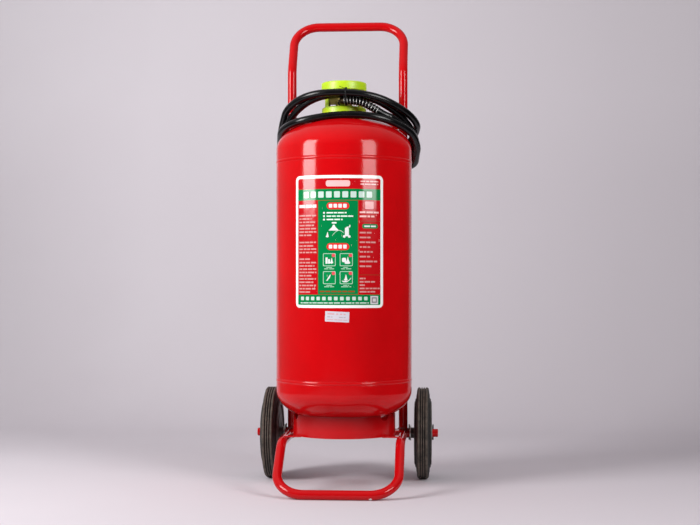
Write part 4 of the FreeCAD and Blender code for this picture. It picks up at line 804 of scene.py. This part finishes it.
class Print:
    """Printed sheet wrapped on the shell, built from strips in millimetres from its lower left corner."""

    def __init__(self, width, bottom, height, turn=0.0, shift=0.0):
        self.width, self.bottom, self.height, self.turn, self.shift = width, bottom, height, turn, shift
        self.points, self.faces, self.inks = [], [], []

    def wrapped(self, across, up, lift):
        """Place on the shell: the angle is the arc length from the front over the radius."""
        x = across - self.width / 2
        z = up - self.height / 2
        turned_x = x * math.cos(self.turn) - z * math.sin(self.turn)
        turned_z = x * math.sin(self.turn) + z * math.cos(self.turn)
        angle = (turned_x + self.shift) / 1000 / VESSEL_RADIUS
        radius = VESSEL_RADIUS + lift / 1000
        return (radius * math.sin(angle), VESSEL_Y - radius * math.cos(angle),
                (self.bottom + self.height / 2 + turned_z) / 1000)

    def columns(self, ink, stations, lows, highs, lift):
        """Strip between two heights at each station across."""
        start = len(self.points)
        for across, low, high in zip(stations, lows, highs):
            self.points += [self.wrapped(across, low, lift), self.wrapped(across, high, lift)]
        for number in range(len(stations) - 1):
            base = start + 2 * number
            self.faces.append((base, base + 2, base + 3, base + 1))
            self.inks.append(ink)

    def field(self, ink, left, right, low, high, corner=0.0, lift=0.28):
        """Rectangle with rounded corners: each corner's edge is set in by radius minus the root of
        radius squared minus the rest squared."""
        inner = np.arange(left + corner, right - corner, 4.0)
        ends = corner * (1 - np.cos(np.linspace(0, np.pi / 2, 8))) if corner else np.zeros(1)
        stations = np.unique(np.round(np.r_[left + ends, inner, right - ends, right - corner], 4))
        rest = corner - np.minimum(np.minimum(stations - left, right - stations), corner)
        inset = corner - np.sqrt(np.maximum(corner ** 2 - rest ** 2, 0))
        self.columns(ink, stations, low + inset, high - inset, lift)

    def strokes(self, ink, left, right, middle, thick, seed, lift=0.3):
        """One row of plain strokes of uneven length."""
        chance = np.random.default_rng(seed)
        at = left
        while at < right - 2:
            length = min(chance.uniform(5, 17), right - at)
            self.field(ink, at, at + length, middle - thick / 2, middle + thick / 2, 0.0, lift)
            at += length + chance.uniform(1.4, 2.6)

    def shape(self, ink, outline, lift=0.3):
        """Shape given as (across, low, high) stations."""
        stations, lows, highs = zip(*outline)
        self.columns(ink, stations, lows, highs, lift)

    def flame(self, ink, middle, low, size, lift=0.3):
        """Flame: a drop whose half width narrows as a sine and whose tip leans aside."""
        share = np.linspace(0, 1, 13)
        half = size * 0.36 * np.sin(np.pi * share) ** 0.7
        floor = low + size * 0.32 * (1 - np.sin(np.pi * share) ** 0.6)
        crest = 0.34 + 0.66 * np.exp(-((share - 0.56) / 0.17) ** 2)
        tip = low + size * crest * np.maximum(half / half.max(), 0.3)
        self.columns(ink, middle + size * 0.36 * (2 * share - 1), floor, np.maximum(tip, floor), lift)

    def sheet(self, name):
        """The mesh, with each strip's ink in a colour attribute."""
        mesh = bpy.data.meshes.new(name)
        mesh.from_pydata(self.points, [], self.faces)
        ink = mesh.color_attributes.new("ink", "FLOAT_COLOR", "CORNER")
        ink.data.foreach_set("color", np.repeat([linear(i) for i in self.inks], 4, axis=0).ravel())
        mesh.polygons.foreach_set("use_smooth", np.full(len(mesh.polygons), True))
        piece = bpy.data.objects.new(name, mesh)
        bpy.context.scene.collection.objects.link(piece)
        return piece


WHITE, RED, GREEN, PALE = "f3f4f1", "be0f18", "047f43", "e3e6e4"
PINK, ROSE, MINT, LEAF = "d09390", "f2bdbb", "c6dad0", "a9d3b8"
UMBER, RUST, SMOKE = "97491f", "8f3a22", "d6d2d4"
label = Print(LABEL_WIDTH, LABEL_BOTTOM, LABEL_HEIGHT, shift=-1.5)
label.field(WHITE, 0.0, LABEL_WIDTH, 0.0, LABEL_HEIGHT, 11.0, 0.15)
label.field(RED, 7.0, 210.0, 7.0, 297.0, 5.0, 0.2)
label.field(GREEN, 7.0, 210.0, 247.0, 272.5, 0.0, 0.24)
label.field(GREEN, 7.0, 210.0, 6.9, 30.5, 3.0, 0.24)
label.field(GREEN, 60.9, 154.5, 30.5, 245.8, 0.0, 0.24)
for low in (245.8, 30.5):
    label.field(UMBER, 60.9, 154.5, low, low + 1.2, 0.0, 0.26)

# Top and bottom bands of the label: rows of plain plates, and three nested squares in one corner.
label.field(ROSE, 80.0, 136.0, 278.0, 292.0, 5.0)
label.strokes(ROSE, 160.0, 204.0, 290.0, 2.4, 1)
label.strokes(ROSE, 160.0, 204.0, 283.5, 2.4, 2)
for number in range(9):
    left = 23.6 + 18.9 * number
    label.field(MINT, left, left + 13.4, 252.6, 266.9, 2.0)
for number in range(12):
    left = 15.6 + 13.9 * number
    label.field(MINT, left, left + 8.4, 17.6, 25.8, 1.5)
label.strokes(MINT, 14.5, 180.0, 11.6, 2.6, 3)
label.field(SMOKE, 184.0, 203.5, 8.6, 27.6, 1.0)
label.field("8f8a8e", 187.0, 200.5, 11.6, 24.6, 1.0, 0.3)
label.field(SMOKE, 190.0, 197.5, 14.6, 21.6, 1.0, 0.32)

# Side columns of the label: rows of pale strokes on red, and two ruled lines on the right.
label.strokes("fbe3e1", 10.5, 57.0, 233.7, 7.0, 4)
left_rows = [212, 204.5, 197, 189.5, 182, 174.5, 167, 150.5, 142.5, 135, 127.5, 112, 104, 96.5, 89, 81.5,
             74, 66.5, 59, 51.5, 44, 36.5]
for number, height in enumerate(left_rows):
    right = (57.0, 44.0, 56.0, 52.0, 57.0)[number % 5]
    label.strokes(PINK, 10.5, right, height, 3.4, 10 + number)
label.field("e7a3a4", 171.0, 192.0, 226.5, 244.0, 2.0)
label.strokes("f4c6c3", 158.0, 207.0, 219.0, 4.0, 40)
label.strokes("f4c6c3", 158.0, 194.0, 209.8, 4.0, 41)
label.field(RUST, 158.0, 208.0, 198.0, 199.4)
label.field(GREEN, 164.0, 203.0, 182.0, 192.5, 5.2)
label.strokes(PALE, 169.0, 198.0, 187.2, 3.6, 42)
for number in range(8):
    right = (190.0, 184.0, 201.0, 186.0)[number % 4]
    label.strokes(PINK, 158.0, right, 172.5 - 11.0 * number, 3.6, 50 + number)
label.field(RUST, 158.0, 208.0, 75.0, 76.4)
for number, right in enumerate((172.0, 196.0, 174.0, 208.0, 196.0)):
    label.strokes(PINK, 158.0, right, 67.5 - 7.6 * number, 3.4, 60 + number)

# Middle column of the label: two red pills, three numbered steps as dots and strokes, a small cart with
# its hose at a fire, and four framed pictures of things that burn.
for low in (225.7, 132.3):
    label.field("e02a2c", 82.0, 134.0, low, low + 16.0, 7.9)
    for number in range(4):
        left = 87.0 + 11.0 * number
        label.field(PALE, left, left + 8.2, low + 3.6, low + 12.4, 1.5, 0.32)
for height, right, seed in ((217.8, 128.0, 72), (210.0, 143.0, 73), (202.4, 119.0, 74)):
    label.field(PALE, 73.4, 78.0, height - 2.3, height + 2.3, 2.29)
    label.strokes("e4efe6", 82.0, right, height, 3.0, seed)
label.shape(PALE, [(87.0, 177.0, 177.6), (90.0, 177.0, 181.0), (94.0, 177.0, 184.5),
                   (97.0, 177.0, 190.5), (100.0, 177.0, 190.5), (103.0, 177.0, 184.5),
                   (107.0, 177.0, 181.0), (110.0, 177.0, 177.6)])
label.field(PALE, 94.0, 105.0, 193.0, 196.5, 1.2)
label.flame(PALE, 83.5, 161.5, 13.0)
label.field(PALE, 124.0, 133.0, 164.0, 184.0, 3.0)
label.field(PALE, 127.5, 135.5, 184.0, 186.0, 0.9)
label.field(PALE, 134.0, 136.5, 184.5, 190.0, 0.9)
for left in (119.5, 131.0):
    label.field(PALE, left, left + 6.0, 160.5, 166.5, 2.9, 0.3)
bow = np.linspace(0, 1, 16)
arch = 165.5 + 12.0 * np.sin(2.6 * bow)
label.columns("cfe6d6", 95.0 + 26.0 * bow, arch - 0.6, arch + 0.6, 0.3)
for left, low, kind in ((73.3, 95.8, 0), (112.4, 95.8, 1), (73.3, 54.8, 2), (112.4, 54.8, 3)):
    label.field("b9d9c4", left, left + 29.5, low, low + 29.3, 2.5)
    label.field("0b8a4a", left + 1.3, left + 28.2, low + 1.3, low + 28.0, 1.8, 0.3)
    label.field("e2525c", left + 20.5, left + 28.5, low + 20.6, low + 28.6, 3.9, 0.36)
    middle = left + 14.0
    if kind == 0:
        label.field(PALE, middle - 8.0, middle - 3.0, low + 5.5, low + 20.0, 1.0, 0.34)
        label.field(PALE, middle - 2.0, middle + 2.5, low + 5.5, low + 16.0, 1.0, 0.34)
        label.flame(PALE, middle + 6.0, low + 5.5, 14.0, 0.34)
    elif kind == 1:
        label.field(PALE, middle - 9.0, middle + 0.5, low + 9.0, low + 19.0, 3.0, 0.34)
        label.field(PALE, middle - 3.0, middle + 9.5, low + 5.0, low + 10.5, 2.7, 0.35)
        label.flame(PALE, middle + 4.0, low + 9.0, 13.0, 0.34)
    elif kind == 2:
        label.shape(PALE, [(middle - 6.0, low + 7.0, low + 8.0), (middle - 3.0, low + 8.0, low + 13.0),
                           (middle - 0.5, low + 12.0, low + 17.0), (middle + 1.5, low + 13.0, low + 20.0),
                           (middle + 4.0, low + 20.5, low + 22.5)], 0.34)
    else:
        label.shape(PALE, [(middle - 9.0, low + 6.0, low + 8.0), (middle - 5.0, low + 4.0, low + 7.0),
                           (middle + 2.0, low + 4.0, low + 7.0), (middle + 7.0, low + 7.5, low + 9.5),
                           (middle + 12.0, low + 13.0, low + 15.0)], 0.34)
        label.flame(PALE, middle - 0.5, low + 7.5, 15.0, 0.34)
    label.strokes(LEAF, left + 8.0, left + 21.0, low - 2.8, 1.6, 80 + kind)
    label.strokes(LEAF, left + 3.0, left + 26.0, low - 6.2, 1.8, 90 + kind)
label.strokes(UMBER, 66.0, 149.0, 37.8, 3.0, 99)

# Laminated film: clean printed colours under a glossy skin that ripples a little, with fine slanted
# pale scratches.
label_film, film_shader = finish("laminated_label_film", "ffffff", Roughness=0.1, Specular_IOR_Level=0.34)
ink = add(label_film, "VertexColor", layer_name="ink")
scratch_frame = add(label_film, "Mapping", {"Vector": "Object"},
                    i2=(0.0, math.radians(38), 0.0), i3=(520.0, 520.0, 60.0))
scratch = add(label_film, "TexNoise", {"Vector": scratch_frame}, Scale=1.0, Detail=2.0,
              Roughness=0.6)
scratched = add(label_film, "MapRange", {"Value": scratch}, From_Min=0.735, From_Max=0.76)
feed(film_shader, "Base Color",
     add(label_film, "Mix", {0: scratched, 6: ink, 7: "f0dedd"}, data_type="RGBA"))
ripples = add(label_film, "TexNoise", {"Vector": "Object"}, Scale=38.0, Detail=2.0)
feed(film_shader, "Normal", add(label_film, "Bump", {"Height": ripples}, Strength=0.25, Distance=0.0006))
dress(label.sheet("front_label"), "extinguisher", label_film, "label_film", "label")

# Inspection sticker. A small pale paper one, put on a little askew, with three rows of faint strokes.
STICKER_WIDTH = 57.0
STICKER_HEIGHT = 25.0
STICKER_BOTTOM = 394.5
STICKER_TILT = math.radians(-2.5)
STICKER_PALE = "cecbd4"

sticker = Print(STICKER_WIDTH, STICKER_BOTTOM, STICKER_HEIGHT, STICKER_TILT, -4.0)
sticker.field(STICKER_PALE, 0.6, 56.4, 0.6, 24.4, 0.8, 0.12)
sticker.strokes("d79a9f", 6.0, 22.0, 18.6, 2.8, 101, 0.2)
for left, right in ((26.0, 31.0), (35.0, 40.0), (43.0, 48.0)):
    sticker.field("d79a9f", left, right, 17.2, 20.0, 1.2, 0.2)
sticker.strokes("a9a3ac", 6.0, 18.0, 11.6, 2.2, 102, 0.2)
sticker.strokes("a9a3ac", 33.0, 48.0, 11.6, 2.2, 103, 0.2)
sticker.strokes("d3a2a6", 5.0, 52.0, 5.6, 1.8, 104, 0.2)
# Coated paper: lavender white and satin, with a faint fibre.
sticker_paper, paper_shader = finish("coated_sticker_paper", STICKER_PALE, Roughness=0.5)
paper_ink = add(sticker_paper, "VertexColor", layer_name="ink")
fibre = add(sticker_paper, "TexNoise", {"Vector": "Object"}, Scale=900.0, Detail=3.0)
shade = add(sticker_paper, "MapRange", {"Value": fibre}, To_Max=0.14)
feed(paper_shader, "Base Color",
     add(sticker_paper, "Mix", {0: shade, 6: paper_ink, 7: "b9b2ae"}, data_type="RGBA"))
feed(paper_shader, "Normal", add(sticker_paper, "Bump", {"Height": fibre}, Strength=0.1, Distance=0.0001))
dress(sticker.sheet("paper_sticker"), "extinguisher", sticker_paper, "sticker_paper", "inspection_sticker")


# Studio. A seamless pale sweep, two tall softboxes whose reflections are the two pale stripes on the
# vessel, and an even pale surround that fills the shadows.
FLOOR_FRONT = -3.6
FLOOR_BACK = 1.1
SWEEP_RADIUS = 0.9
SWEEP_TOP = 3.4
SWEEP_SIDES = (-1.55, 1.3)
SOFTBOX_DISTANCE = 2.4
SOFTBOX_LEVELS = (0.78, 2.25)


def studio_sweep():
    """Floor and back wall as one sheet, joined by a quarter circle of large radius."""
    bend = np.linspace(0, np.pi / 2, 24)
    depth = np.r_[np.linspace(FLOOR_FRONT, FLOOR_BACK, 12), FLOOR_BACK + SWEEP_RADIUS * np.sin(bend[1:]),
                  FLOOR_BACK + SWEEP_RADIUS]
    height = np.r_[np.zeros(12), SWEEP_RADIUS * (1 - np.cos(bend[1:])), SWEEP_TOP]
    width = np.linspace(*SWEEP_SIDES, 9)
    points = np.stack(np.broadcast_arrays(width[None], depth[:, None], height[:, None]), axis=-1)
    return surface("studio_sweep", points)


def facing(tree, direction, low, high, dim, bright):
    """Value that rises from dim to bright as the way out turns towards a direction."""
    way = tree.nodes.new("ShaderNodeTexCoord").outputs["Generated"]
    dot = tree.nodes.new("ShaderNodeVectorMath")
    dot.operation = "DOT_PRODUCT"
    dot.inputs[1].default_value = direction
    tree.links.new(way, dot.inputs[0])
    span = tree.nodes.new("ShaderNodeMapRange")
    for number, value in enumerate((low, high, dim, bright), start=1):
        span.inputs[number].default_value = value
    tree.links.new(dot.outputs["Value"], span.inputs[0])
    return span


sweep_sheet = studio_sweep()
# Backdrop paper: matt lilac grey, a little cloudy, paler on the left than on the right, and lit from
# within towards the top of the wall for the eye and for reflections only.
paper, paper_shader = finish("matt_pale_backdrop_paper", "e4dee4", Roughness=0.95, Specular_IOR_Level=0.1)
where = add(paper, "SeparateXYZ", {0: "Object"})
cloudy = add(paper, "TexNoise", {"Vector": "Object"}, Scale=2.5, Detail=3.0)
even = add(paper, "Mix", {0: cloudy, 6: "e4dee4", 7: "dfd8de"}, data_type="RGBA")
falloff = add(paper, "MapRange", {"Value": where.outputs["X"]}, From_Min=-0.9, From_Max=0.9)
feed(paper_shader, "Base Color", add(paper, "Mix", {0: falloff, 6: even, 7: "cdc6cc"}, data_type="RGBA"))
upright = add(paper, "MapRange", {"Value": where.outputs["Z"]}, From_Max=1.2, To_Min=0.0, To_Max=0.1)
aside = add(paper, "MapRange", {"Value": where.outputs["X"]}, From_Min=-0.6, From_Max=0.6, To_Min=1.05,
            To_Max=0.93)
shown = add(paper, "Math", {0: upright, 1: aside}, operation="MULTIPLY")
ray = add(paper, "LightPath")
seen = add(paper, "Math", {0: ray.outputs["Is Camera Ray"], 1: ray.outputs["Is Glossy Ray"]},
           operation="MAXIMUM")
seen = add(paper, "Math", {0: seen, 1: ray.outputs["Is Transmission Ray"]},
           operation="MAXIMUM")
feed(paper_shader, "Emission Strength", add(paper, "Math", {0: seen, 1: shown}, operation="MULTIPLY"))
paper_shader.inputs["Emission Color"].default_value = linear("faf4fa")
# The sheet's faces point down and back, so it shows only from the side that the object stands on.
side = add(paper, "NewGeometry")
clear = add(paper, "BsdfTransparent")
one_sided = add(paper, "MixShader", {0: side.outputs["Backfacing"], 1: clear,
                                               2: paper_shader})
feed(paper.node_tree.nodes["Material Output"], "Surface", one_sided)
sweep_sheet.data.materials.append(paper)

world = bpy.data.worlds.new("dim_studio_room")
bpy.context.scene.world = world
world.use_nodes = True
room = world.node_tree.nodes["Background"]
room.inputs["Color"].default_value = linear("faf7fa")
feed(room, "Strength", facing(world.node_tree, (-0.3, 0.25, 0.92), 0.0, 1.0, 0.02, 0.62))


def softbox(name, azimuth, width, radiance):
    """Upright area light aimed level at the vessel's axis; its power is radiance times area times pi."""
    low, high = SOFTBOX_LEVELS
    lamp = bpy.data.lights.new(name, "AREA")
    lamp.shape = "RECTANGLE"
    lamp.size = width
    lamp.size_y = high - low
    lamp.energy = radiance * width * (high - low) * math.pi
    lamp.spread = math.radians(150)
    stand = bpy.data.objects.new(name, lamp)
    angle = math.radians(azimuth)
    stand.location = (SOFTBOX_DISTANCE * math.sin(angle), VESSEL_Y - SOFTBOX_DISTANCE * math.cos(angle),
                      (low + high) / 2)
    stand.rotation_euler = (math.radians(90), 0, angle)
    bpy.context.scene.collection.objects.link(stand)


CAMERA_TURN = 4.0
softbox("left_softbox", CAMERA_TURN - 58.5, 0.92, 12.7)
softbox("right_softbox", CAMERA_TURN + 42.0, 0.97, 7.3)

# Camera. Level, about 3.2 m in front of the vessel and 4 degrees to its right, at half its height.
eye = bpy.data.cameras.new("camera")
eye.lens = 68.86
eye.sensor_width = 36.0
eye.shift_x = -0.0008
eye.shift_y = 0.0293
eye.clip_start = 0.1
eye.clip_end = 60.0
camera = bpy.data.objects.new("camera", eye)
camera.location = (0.2402, -3.2021, 0.4842)
camera.rotation_euler = (math.radians(90), 0.0, math.radians(CAMERA_TURN))
bpy.context.scene.collection.objects.link(camera)
bpy.context.scene.camera = camera
bpy.context.scene.view_settings.view_transform = "Standard"
